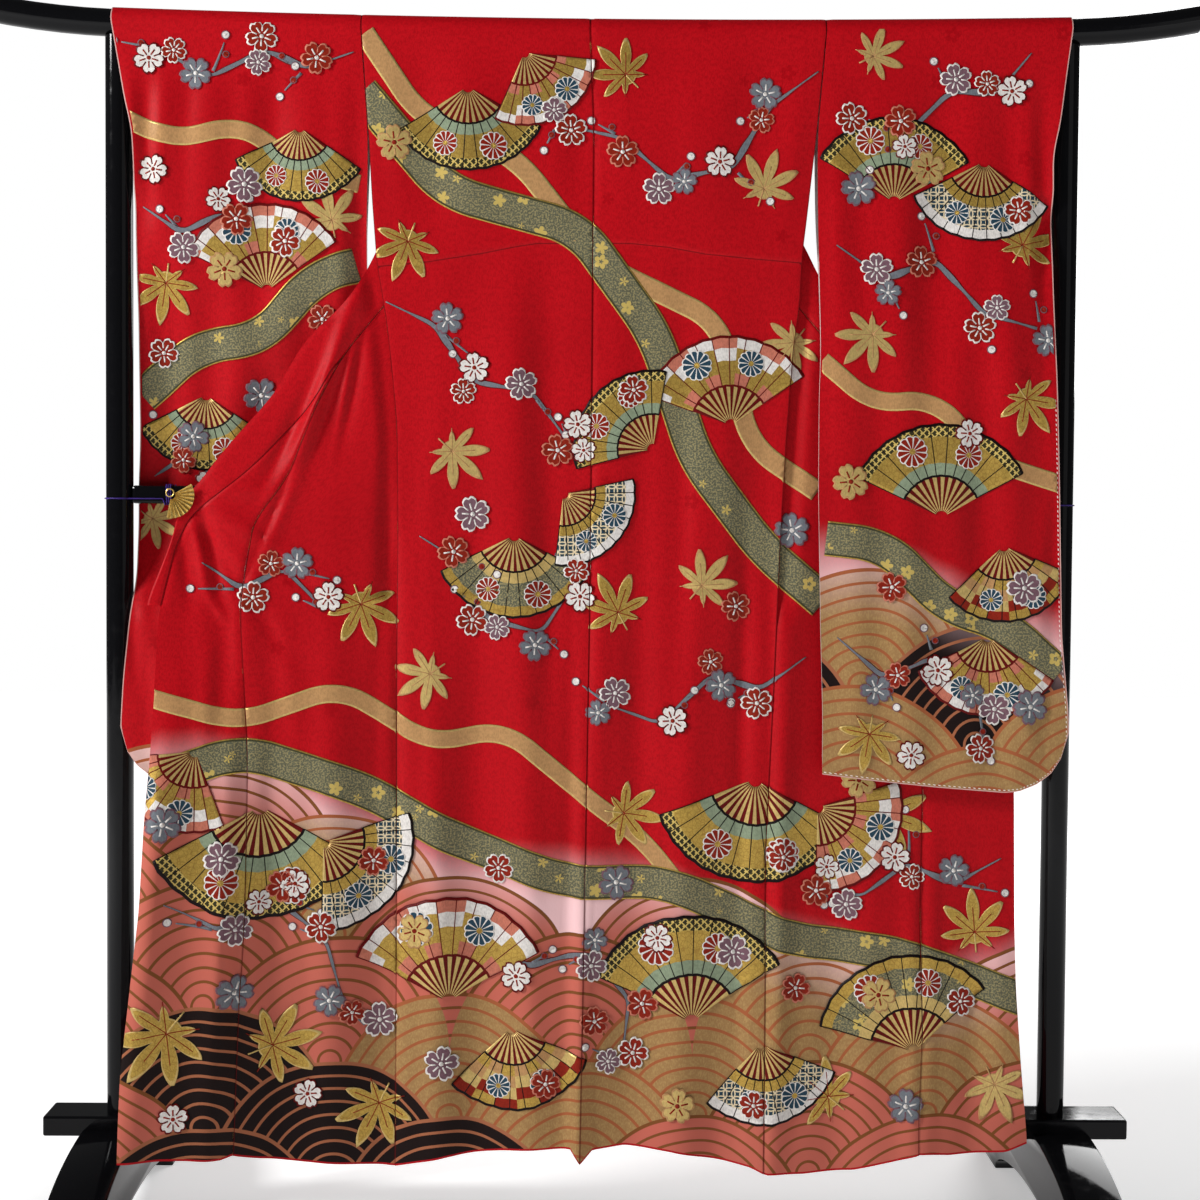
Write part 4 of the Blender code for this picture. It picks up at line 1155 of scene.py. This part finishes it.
def blossom(cloth, x, z, r, turn, look, lift):
    edge, petal, core = look
    disc(cloth, x, z, (0.0, 0.88 * r, r), 40, (petal, edge), lift, cherry, turn)
    disc(cloth, x, z, (0.0, 0.13 * r), 8, (core,), lift + 0.0003, None, turn)
    joins = [turn + 2.0 * math.pi * number / 5.0 for number in range(5)]
    middles = [join + math.pi / 5.0 for join in joins]
    spokes(cloth, x, z, 0.20 * r, 0.58 * r, middles, 0.055 * r + 0.0008, core, lift + 0.0002)
    spokes(cloth, x, z, 0.30 * r, 0.62 * r, joins, 0.05 * r + 0.0007, edge, lift + 0.0002)


LOBES = {0.80: 0.50, 1.55: 0.78, 2.35: 0.95, math.pi: 1.0, 3.93: 0.95, 4.73: 0.78, 5.48: 0.50}


def maple(angle):
    """Pointed lobes, each with its angle and length; the stalk is at angle 0."""
    reach = np.full_like(angle, 0.26)
    for lobe, length in LOBES.items():
        away = np.abs(angle - lobe)
        reach = np.maximum(reach, length * np.clip(1.0 - away / 0.42, 0.0, 1.0) ** 0.60)
    return reach


def maple_leaf(cloth, x, z, r, turn, look, lift):
    edge, face, vein = look
    disc(cloth, x, z, (0.0, 0.90 * r, r), 84, (face, edge), lift, maple, turn)
    spokes(cloth, x, z, 0.0, 0.55 * r, [turn + lobe for lobe in LOBES], 0.0012, vein, lift + 0.0002)
    spokes(cloth, x, z, 0.0, 0.45 * r, (turn,), 0.0022, edge, lift + 0.0002)


def chrysanthemum(cloth, x, z, r, look, lift):
    edge, petal, core = look
    petals = 12

    def ink(column, row):
        if row == 0:
            return core
        return edge if column % 4 == 3 or row == 3 else petal

    def outline(angle):
        return 0.90 + 0.10 * np.abs(np.sin(angle * petals / 2.0)) ** 0.6

    disc(cloth, x, z, (0.0, 0.20 * r, 0.55 * r, 0.93 * r, r), petals * 4, ink, lift, outline)


FAN_LOOKS = {
    "brocade": ("pale_gold", "brocade", "brocade", "gold", "black", False),
    "gold": ("sage", "gold", "gold", "lattice", "black", False),
    "white": ("gold", "white", "salmon", "gold", "maroon", True),
    "blue": ("gold", "net", "net", "white", "black", False),
    "rust": ("pale_gold", "rust", "gold", "tan", "black", True),
}


def fan(cloth, x, z, r, start, spread, look, lift):
    """A folding fan: sticks to 45 % of its reach, then a pleated leaf in bands, with a dark edge."""
    *grounds, edge, checked = FAN_LOOKS[look]
    folds = max(7, int(spread / 0.19))
    radii = [share * r for share in (0.07, 0.43, 0.455, 0.58, 0.72, 0.86, 0.970, 1.0)]

    def ink(column, row):
        if row == 0:
            return "maroon" if column % 2 else "pale_gold"
        if row in (1, 6):
            return edge
        return grounds[(row + (column // 3) % 2) % 4] if checked else grounds[row - 2]

    def outline(angle):
        part = (angle / spread * folds) % 1.0
        return 1.0 - 0.022 * np.abs(part - 0.5)

    disc(cloth, x, z, radii, folds * 2, ink, lift, outline, start, spread)
    lines = [start + spread * fold / folds for fold in range(folds + 1)]
    spokes(cloth, x, z, 0.44 * r, 0.98 * r, lines, 0.0013, edge, lift + 0.0002)
    petals = "rust" if look in ("gold", "brocade") else "blue"
    for share, reach, size in ((0.30, 0.72, 0.15), (0.68, 0.76, 0.17)):
        angle = start + spread * share
        x2, z2 = x + reach * r * math.cos(angle), z + reach * r * math.sin(angle)
        chrysanthemum(cloth, x2, z2, size * r, ("white", petals, "gold"), lift + 0.0004)


def bough(cloth, points, width, lift):
    """A slate-grey branch with a mauve outline; each point sends out a twig that ends in buds."""
    bark, edges = ("maroon", "slate", "slate", "maroon"), (0.0, 0.12, 0.5, 0.88, 1.0)
    band(cloth, points, width, bark, edges, lift, None, 0.30, 0.16, 0.12, 0.014)
    for number, (x, z) in enumerate(points[1:]):
        angle, reach = 1.35 + 2.4 * number + 9.0 * x, 0.062 + 0.018 * math.sin(5.0 * number + 30.0 * z)
        x2, z2 = x + reach * math.cos(angle), z + reach * math.sin(angle)
        bend = ((x + x2) / 2.0 + (z2 - z) * 0.12, (z + z2) / 2.0)
        band(cloth, ((x, z), bend, (x2, z2)), 0.0046, ("slate",), (0.0, 1.0), lift, 6, 0.4)
        disc(cloth, x2, z2, (0.0, 0.0050, 0.0064), 12, ("white", "mauve"), lift + 0.0003)
        x3, z3 = bend[0] + 0.005, bend[1] + 0.003
        disc(cloth, x3, z3, (0.0, 0.0040, 0.0052), 10, ("rust", "mauve"), lift + 0.0003)


print("motifs ready")

# %% Where each thing is painted: bands and boughs, each with its width and the points of its line
def rows_of(table):
    """The rows of every cloth in one list, in metres, each with its cloth's name first."""
    return [(cloth, *row) for cloth, rows in metres(table).items() for row in rows]


RIBBONS = {
    "brocade": (("gold", "deep_olive", "brocade", "brocade", "brocade", "deep_olive", "gold"),
                (0.0, 0.035, 0.085, 0.36, 0.64, 0.915, 0.965, 1.0), 0.0006),
    "tan": (("pale_gold", "tan", "tan", "pale_gold"), (0.0, 0.10, 0.5, 0.90, 1.0), 0.0003),
}
BANDS = rows_of({
    "body": (
        ("tan", 30, (-335, 1725), (-250, 1600), (-110, 1540), (10, 1390), (180, 1310), (230, 1130),
         (335, 1060)),
        ("brocade", 52, (-340, 1640), (-210, 1490), (-20, 1440), (90, 1290), (150, 1110), (250, 980),
         (345, 900)),
        ("tan", 26, (-640, 770), (-500, 730), (-360, 780), (-230, 700), (-120, 720), (0, 620), (75, 565),
         (125, 505), (155, 465)),
        ("brocade", 50, (-645, 640), (-500, 690), (-340, 640), (-190, 560), (-30, 500), (120, 500),
         (290, 420), (450, 400), (640, 330)),
    ),
    "sleeve_right": (
        ("tan", 26, (320, 1260), (400, 1190), (490, 1200), (570, 1110), (700, 1070)),
        ("brocade", 50, (325, 1000), (420, 990), (510, 900), (590, 880), (680, 800)),
    ),
    "sleeve_left": (
        ("tan", 26, (-690, 1600), (-600, 1560), (-500, 1585), (-420, 1520), (-325, 1500)),
        ("brocade", 50, (-330, 1390), (-400, 1370), (-480, 1280), (-570, 1270), (-660, 1190)),
    ),
})
BOUGHS = rows_of({
    "body": (
        (14, (325, 1670), (250, 1615), (200, 1530), (110, 1510), (40, 1570), (-50, 1590)),
        (13, (-300, 1335), (-225, 1300), (-170, 1220), (-85, 1205), (-30, 1130)),
        (12, (315, 830), (245, 780), (175, 800), (100, 730), (30, 755)),
        (12, (-250, 1000), (-185, 960), (-150, 880), (-70, 860), (-25, 930)),
        (12, (-600, 480), (-520, 440), (-450, 480), (-375, 420), (-350, 330)),
        (12, (-160, 440), (-90, 380), (0, 400), (60, 330), (50, 240)),
        (12, (600, 540), (530, 500), (460, 530), (390, 480), (330, 510)),
        (12, (-560, 960), (-500, 920), (-440, 950), (-380, 890)),
    ),
    "sleeve_right": (
        (14, (345, 1420), (420, 1370), (490, 1400), (560, 1320), (640, 1300)),
        (13, (630, 1700), (580, 1640), (510, 1640), (450, 1580), (390, 1600)),
        (12, (350, 860), (420, 800), (490, 830), (560, 760)),
    ),
    "sleeve_left": (
        (13, (-340, 1690), (-410, 1665), (-470, 1690), (-550, 1650), (-620, 1690)),
        (12, (-650, 1470), (-590, 1430), (-530, 1460), (-460, 1410)),
        (12, (-640, 1080), (-580, 1120), (-540, 1060)),
    ),
})
for cloth, kind, width, *points in BANDS:
    inks, edges, lift = RIBBONS[kind]
    band(cloth, points, width, inks, edges, lift)
for cloth, width, *points in BOUGHS:
    bough(cloth, points, width, 0.0006)
print(len(BANDS), "bands and", len(BOUGHS), "boughs")

# %% Fans and leaves
# a place and a reach, then a fan's start and spread, or a leaf's turn, in thousandths of a radian
FANS = rows_of({
    "body": (
        (-180, 1640, 120, 3700, 2100, "gold"), (-100, 1690, 105, 4300, 1900, "white"),
        (200, 1160, 130, 600, 2200, "white"), (88, 1125, 115, 1400, 2000, "gold"),
        (-110, 1000, 120, 3600, 2200, "brocade"), (-40, 1060, 105, 4600, 1900, "blue"),
        (240, 650, 150, 3500, 2300, "gold"), (330, 610, 125, 4700, 1900, "white"),
        (-470, 610, 160, 3600, 2200, "gold"), (-380, 560, 130, 4700, 1900, "blue"),
        (-560, 690, 115, 3200, 1900, "white"), (-200, 330, 150, 500, 2200, "white"),
        (-110, 290, 120, 3900, 2000, "rust"), (150, 300, 155, 600, 2100, "gold"),
        (250, 270, 120, 4000, 1900, "blue"), (470, 260, 140, 700, 2200, "brocade"),
    ),
    "sleeve_right": (
        (430, 1480, 125, 500, 2100, "gold"), (560, 1540, 115, 3600, 2100, "blue"),
        (500, 1030, 135, 500, 2200, "gold"), (590, 990, 110, 3900, 2000, "rust"),
        (570, 860, 115, 3600, 2100, "white"),
    ),
    "sleeve_left": (
        (-470, 1350, 125, 600, 2100, "white"), (-560, 1200, 110, 3600, 2100, "gold"),
        (-420, 1580, 105, 3600, 2100, "gold"),
    ),
})
LEAVES = rows_of({
    "body": (
        (245, 1500, 60, 4400, "tan"), (45, 1660, 58, 5500, "gold"), (-265, 1420, 62, 1200, "gold"),
        (290, 1280, 58, 900, "tan"), (-200, 1120, 60, 2400, "tan"), (40, 890, 64, 5200, "gold"),
        (160, 930, 58, 4000, "tan"), (-330, 900, 66, 1900, "gold"), (-230, 800, 58, 600, "tan"),
        (430, 600, 70, 2800, "gold"), (560, 430, 66, 4800, "gold"), (-590, 300, 82, 900, "gold"),
        (-450, 270, 74, 3400, "gold"), (-300, 180, 70, 1100, "gold"), (350, 190, 66, 5600, "gold"),
        (590, 210, 62, 2000, "tan"), (50, 600, 62, 3000, "gold"),
    ),
    "sleeve_right": (
        (615, 1420, 64, 4200, "gold"), (400, 1290, 60, 800, "tan"), (620, 1200, 60, 2200, "gold"),
        (400, 1690, 50, 3600, "tan"), (400, 720, 60, 1400, "gold"),
    ),
    "sleeve_left": (
        (-615, 1360, 62, 1400, "gold"), (-375, 1450, 58, 4900, "tan"), (-640, 1020, 50, 2600, "tan"),
    ),
})
LEAF_LOOKS = {"gold": ("pale_gold", "gold", "rust"), "tan": ("tan", "pale_gold", "tan")}
for number, (cloth, x, z, r, start, spread, look) in enumerate(FANS):
    fan(cloth, x, z, r, start, spread, look, 0.0008 + 0.0006 * (number % 2))
for cloth, x, z, r, turn, look in LEAVES:
    maple_leaf(cloth, x, z, r, turn, LEAF_LOOKS[look], 0.0007)
print(len(FANS), "fans and", len(LEAVES), "leaves")

# %% Blossoms: one or two at each point of a bough, and loose ones about the fans
BLOSSOM_LOOKS = (
    ("white", "rust", "white"), ("mauve", "slate", "white"), ("maroon", "white", "rust"),
    ("white", "mauve", "white"), ("salmon", "rust", "white"), ("tan", "pale_gold", "rust"),
)
LOOSE = rows_of({
    "body": (
        (-285, 1560), (60, 1210), (290, 1010), (-20, 1160), (-170, 1030), (210, 900), (390, 650),
        (280, 540), (-600, 590), (-420, 500), (-520, 540), (-310, 530), (-250, 430), (-130, 520), (40, 500),
        (100, 420), (210, 400), (300, 350), (420, 340), (540, 330), (-500, 350), (-400, 200), (-210, 240),
        (-60, 210), (130, 180), (240, 180), (460, 180), (-580, 180), (-300, 300), (10, 300),
    ),
    "sleeve_right": (
        (480, 1530), (610, 1470), (380, 1500), (540, 1150), (620, 930), (430, 930), (370, 1080), (560, 700),
        (630, 760), (460, 690),
    ),
    "sleeve_left": (
        (-500, 1500), (-390, 1310), (-530, 1380), (-620, 1260), (-480, 1200), (-630, 1520),
    ),
})


def blossom_lift(cloth, x, z, r):
    """Above a fan where there is one, and otherwise just above the boughs."""
    over_fan = any(name == cloth and math.hypot(x - fan_x, z - fan_z) < reach + r
                   for name, fan_x, fan_z, reach, *_ in FANS)
    return 0.0020 if over_fan else 0.0011


count = 0
for cloth, _, *points in BOUGHS:
    for x, z in points[1:]:
        count += 1
        for turn, size in ((0.8, 0.0245), (3.2, 0.0200))[:1 + count % 2]:
            x1, z1 = x + 0.020 * math.cos(turn + count), z + 0.020 * math.sin(turn + count)
            look = BLOSSOM_LOOKS[(count + int(turn)) % 5]
            blossom(cloth, x1, z1, size, 1.3 * count + turn, look, blossom_lift(cloth, x1, z1, size))
for cloth, x, z in LOOSE:
    count += 1
    size = 0.023 + 0.004 * (count % 2)
    blossom(cloth, x, z, size, 1.3 * count, BLOSSOM_LOOKS[count % 6], blossom_lift(cloth, x, z, size))
print(count, "blossoms")

# %% Lay the films on the cloth
def panel_limits(name):
    """Moves a point that is outside this panel onto its outline, less half a seam's slit."""
    kind, side = name.split("_")
    sign, body, slit = SIGN[side], BODY[side], 0.0007

    def limits(x, z):
        z = np.clip(z, read(HEM, "z", x, "x") + 0.0030, 1.729 if kind == "back" else 1.33)
        seam = read(body["seam"], "x", z)
        if kind == "back":
            inner, outer = sign * read(CENTRE, "x", z), read(body["side"], "x", z)
        elif kind == "front":
            inner, outer = read(body["side"], "x", z), seam
        else:
            below = read(body["front_edge"], "x", z)
            inner, outer = seam, np.where(z > COLLAR_END, collar_line(body, z), below)
        return sign * np.clip(sign * x, inner + slit, np.maximum(inner + slit, outer - slit)), z

    return limits


def sleeve_limits(side):
    sign, edge = SIGN[side], SLEEVE_EDGE[side]

    def limits(x, z):
        inner, outer = read(edge, "inner", z) + 0.002, read(edge, "outer", z) - 0.004
        out = np.clip(x * sign, inner, outer)
        low = read(SLEEVE_HEM, side, (out - inner) / (outer - inner), "share") + 0.003
        return sign * out, np.clip(z, low, 1.729)

    return limits


FILMS = {}
for side in SIGN:
    FILMS[f"sleeve_{side}"] = (partial(sleeve_depth, side, -1.0), sleeve_limits(side), -1.0)
    FILMS[f"sleeve_{side}_far"] = (partial(sleeve_depth, side, 1.0), sleeve_limits(side), 1.0)
    DRAWINGS[f"sleeve_{side}_far"] = DRAWINGS[f"sleeve_{side}"].copy()
for name in PANELS:
    kind, side = name.split("_")
    depth = back_depth if kind == "back" else partial(drawn, BODY[side])
    FILMS[name] = (depth, panel_limits(name), -1.0)


def lay_film(cloth):
    bm = DRAWINGS[cloth]
    depth, limits, facing = FILMS[cloth]
    flat = np.array([vert.co[:] for vert in bm.verts])
    x, z = limits(flat[:, 0], flat[:, 2])
    y = depth(x, z) + facing * (SILK / 2.0 + 0.0004 + flat[:, 1])
    for vert, point in zip(bm.verts, np.column_stack((x, y, z))):
        vert.co = point
    bmesh.ops.delete(bm, geom=[face for face in bm.faces if face.calc_area() < 2e-8], context="FACES")
    film = new_object(f"painting_{cloth}", bm, INKS.values())
    thick = film.modifiers.new("film", "SOLIDIFY")
    thick.thickness = 0.00018
    thick.offset = 0.0
    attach(film, "root")
    return len(film.data.polygons)


print({cloth: lay_film(cloth) for cloth in FILMS})
bpy.data.meshes.remove(PATCH)

# %% [markdown]
# ## The stand
# A kimono stand is lacquered wood: a rod that is slightly turned up at its ends, two posts, a rail that
# steadies them, and a plank on two arched feet. The rod, posts and feet are made again with more sides, and
# with rounded edges where a lacquered edge catches light. The rail and plank are exact already.


# %% Lacquered wood
lacquer, coat = plain("black lacquer", (0.0035, 0.0035, 0.0042), 0.10)
place = object_place(lacquer)
worn = maths("MULTIPLY_ADD", ramp(noise(place, 60.0, 4.0), 0.45, 0.75), 0.10, 0.07)
dress(coat, {"Specular IOR Level": 0.14, "Roughness": worn})
bump(coat, noise(place, 14.0, 1.0), 0.15, 0.0004)


def lacquered(bm, name):
    """Turns a bmesh into a lacquered piece that stands in for the solid of this name."""
    piece = new_object(f"lacquer_{name}", bm, (lacquer,), 35.0)
    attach(piece, "root")
    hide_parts(name)


def cylinder(length):
    bm = bmesh.new()
    round_end = {"radius1": ROD_RADIUS, "radius2": ROD_RADIUS, "depth": length}
    bmesh.ops.create_cone(bm, cap_ends=True, segments=40, **round_end)
    return bm


def softened(bm, rims, offset, segments, clamp=False):
    bmesh.ops.bevel(bm, geom=rims, offset=offset, offset_type="OFFSET", affect="EDGES", segments=segments,
                    profile=0.5, material=-1, clamp_overlap=clamp)


def rod_piece():
    bm = cylinder(2.0)
    ends = [face for face in bm.faces if len(face.verts) > 4]
    long_edges = [edge for edge in bm.edges if abs(edge.verts[0].co.z - edge.verts[1].co.z) > 1.0]
    bmesh.ops.subdivide_edges(bm, edges=long_edges, cuts=47)
    softened(bm, [edge for face in ends for edge in face.edges], 0.004, 4)
    for vert in bm.verts:
        x = vert.co.z * ROD_HALF
        vert.co = (x, vert.co.y, float(rod_height(x)) + vert.co.x)
    bmesh.ops.recalc_face_normals(bm, faces=bm.faces)
    lacquered(bm, "rod")


def post_piece(side):
    low, high = 0.154, float(rod_height(POST_X)) - ROD_RADIUS
    bm = cylinder(high - low)
    bmesh.ops.translate(bm, verts=bm.verts, vec=(SIGN[side] * POST_X, 0.0, (low + high) / 2.0))
    lacquered(bm, f"post_{side}")


def foot_piece(side):
    """An arch with a notched crown, swept to its width and softened."""
    half, width, top, arch, pad = 0.34, 0.0815, 0.134, 0.046, 0.115
    notch, notch_low = 0.0383, 0.1247
    angles = np.linspace(math.asin(0.012 / top), math.acos(notch / half), 22)
    crown = [(half * math.cos(a), top * math.sin(a)) for a in angles]
    outer = [(half - 0.004, 0.0), *crown, (notch, notch_low)]
    hollow = [((half - pad) * math.cos(a), arch * math.sin(a)) for a in np.linspace(math.pi, 0.0, 25)]
    outline = outer + [(-y, z) for y, z in reversed(outer)] + hollow
    bm = bmesh.new()
    x = SIGN[side] * 0.6908 - width / 2.0
    flank = bm.faces.new([bm.verts.new((x, y, z)) for y, z in outline])
    swept(bm, [flank], (width, 0.0, 0.0))
    rims = [edge for edge in bm.edges if abs(edge.verts[0].co.x - edge.verts[1].co.x) < 1e-6]
    softened(bm, rims, 0.0025, 2, True)
    lacquered(bm, f"foot_{side}")


def refinish(finish, *nodes):
    """Gives solids that stay as they are another material."""
    for name in nodes:
        mesh = bpy.data.objects[name].data
        mesh.materials.clear()
        mesh.materials.append(finish)


rod_piece()
for side in SIGN:
    post_piece(side)
    foot_piece(side)
refinish(lacquer, "rail", "plank")
print("stand pieces made")

# %% [markdown]
# ## Clip and cord
# The clip that holds the left front out is a small gilt fan on a ring. Purple silk cord, twisted from two
# strands, ties it to the post and goes round the rail. Their solids have the right shape already, so they
# stay and only get their finish: soft gilding that is duller in random patches, and slanting twist lines
# that are darker in the grooves between the strands, as painted shade.

# %% Gilt and twisted cord
gilt, brass = plain("gilt brass", (0.62, 0.43, 0.13), 0.30)
place = object_place(gilt)
patch = ramp(noise(place, 190.0, 3.0), 0.35, 0.68)
dress(brass, {"Metallic": 0.85, "Base Color": blend(patch, (0.70, 0.50, 0.16), (0.46, 0.29, 0.07)),
              "Roughness": maths("MULTIPLY_ADD", patch, 0.22, 0.22)})
bump(brass, noise(place, 420.0), 0.25, 0.0003)

twist, strands = plain("twisted purple silk", (0.030, 0.012, 0.160), 0.55)
x, y, z = parts_of(object_place(twist))
# the cord's colour is darkest where its bump sinks: painted shade in the twist's grooves, lighter on the
# ridges
strand = maths("MULTIPLY_ADD", maths("SINE", (x + y + z) * 3000.0), 0.5, 0.5)
dress(strands, {"Specular IOR Level": 0.25,
                "Base Color": blend(strand, (0.010, 0.004, 0.060), (0.060, 0.022, 0.260))})
bump(strands, strand, 0.6, 0.0003)
refinish(gilt, "clip_fan", "clip_ring")
refinish(twist, "cord_post_left", "cord_post_right", "cord_wrap_left", "cord_run_left")
print("clip gilt, cord twisted")

# %% [markdown]
# ## Light, floor and camera
# The photograph is taken straight on, from about three metres, in soft light on a white ground. A large soft
# lamp from the upper left leaves the folds readable, and a pale floor catches the stand's faint shadow. The
# white ground is the world itself: only the camera sees it white, while the cloth gets a tenth of that light,
# because an evenly bright room would wash the folds out.

# %% Light, floor and camera
ground, glowing = plain("floor", (0.90, 0.90, 0.90), 0.9)
away = node(ground.node_tree, "VectorMath", {0: object_place(ground)}, "Value", operation="LENGTH")
whiter = maths("MULTIPLY_ADD", ramp(away, 1.3, 4.0), 0.60, 0.42)
dress(glowing, {"Emission Color": (1.0, 1.0, 1.0), "Emission Strength": whiter})
bm = bmesh.new()
bmesh.ops.create_grid(bm, x_segments=1, y_segments=1, size=9.0)
floor = new_object("floor", bm, (ground,))
floor.location = (0.0, 0.0, -0.001)
floor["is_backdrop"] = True


def soft_lamp(name, place, height, power, size):
    """A square lamp that looks at the cloth's middle, at this height."""
    lamp = bpy.data.lights.new(name, "AREA")
    lamp.energy = power
    lamp.size = size
    made = bpy.data.objects.new(name, lamp)
    made.location = place
    made.rotation_euler = (Vector((0.0, 0.0, height)) - Vector(place)).to_track_quat("-Z", "Y").to_euler()
    bpy.context.scene.collection.objects.link(made)
    made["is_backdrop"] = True


soft_lamp("key lamp", (-4.4, -2.0, 3.1), 0.95, 250.0, 1.0)
soft_lamp("fill lamp", (2.8, -3.0, 1.8), 0.9, 10.0, 2.4)
soft_lamp("lamp behind", (2.6, 3.6, 2.6), 0.9, 110.0, 2.4)
world = bpy.data.worlds.new("pale room")
world.use_nodes = True
room = world.node_tree.nodes["Background"]
seen = node(world.node_tree, "LightPath", {}, "Is Camera Ray")
dress(room, {"Color": (1.0, 1.0, 1.0), "Strength": maths("MULTIPLY_ADD", seen, 0.92, 0.08)})
bpy.context.scene.world = world

lens = bpy.data.cameras.new("camera")
lens.lens = 61.83
lens.sensor_width = 36.0
camera = bpy.data.objects.new("camera", lens)
camera.location = (-0.024, -3.0, 1.022)
turn = Matrix.Rotation(-0.01273, 3, "Z") @ Matrix.Rotation(math.radians(90.0 - 2.206), 3, "X")
camera.rotation_euler = (turn @ Matrix.Rotation(0.0073, 3, "Z")).to_euler()
bpy.context.scene.collection.objects.link(camera)
bpy.context.scene.camera = camera
bpy.context.scene.view_settings.view_transform = "Standard"
print("camera at", camera.location[:])

# %% The two boxes side by side
boxes = {"cad": [list(corner) for corner in bare_box], "visual": [list(corner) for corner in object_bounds()]}
print({name: [[round(value, 4) for value in corner] for corner in box] for name, box in boxes.items()})
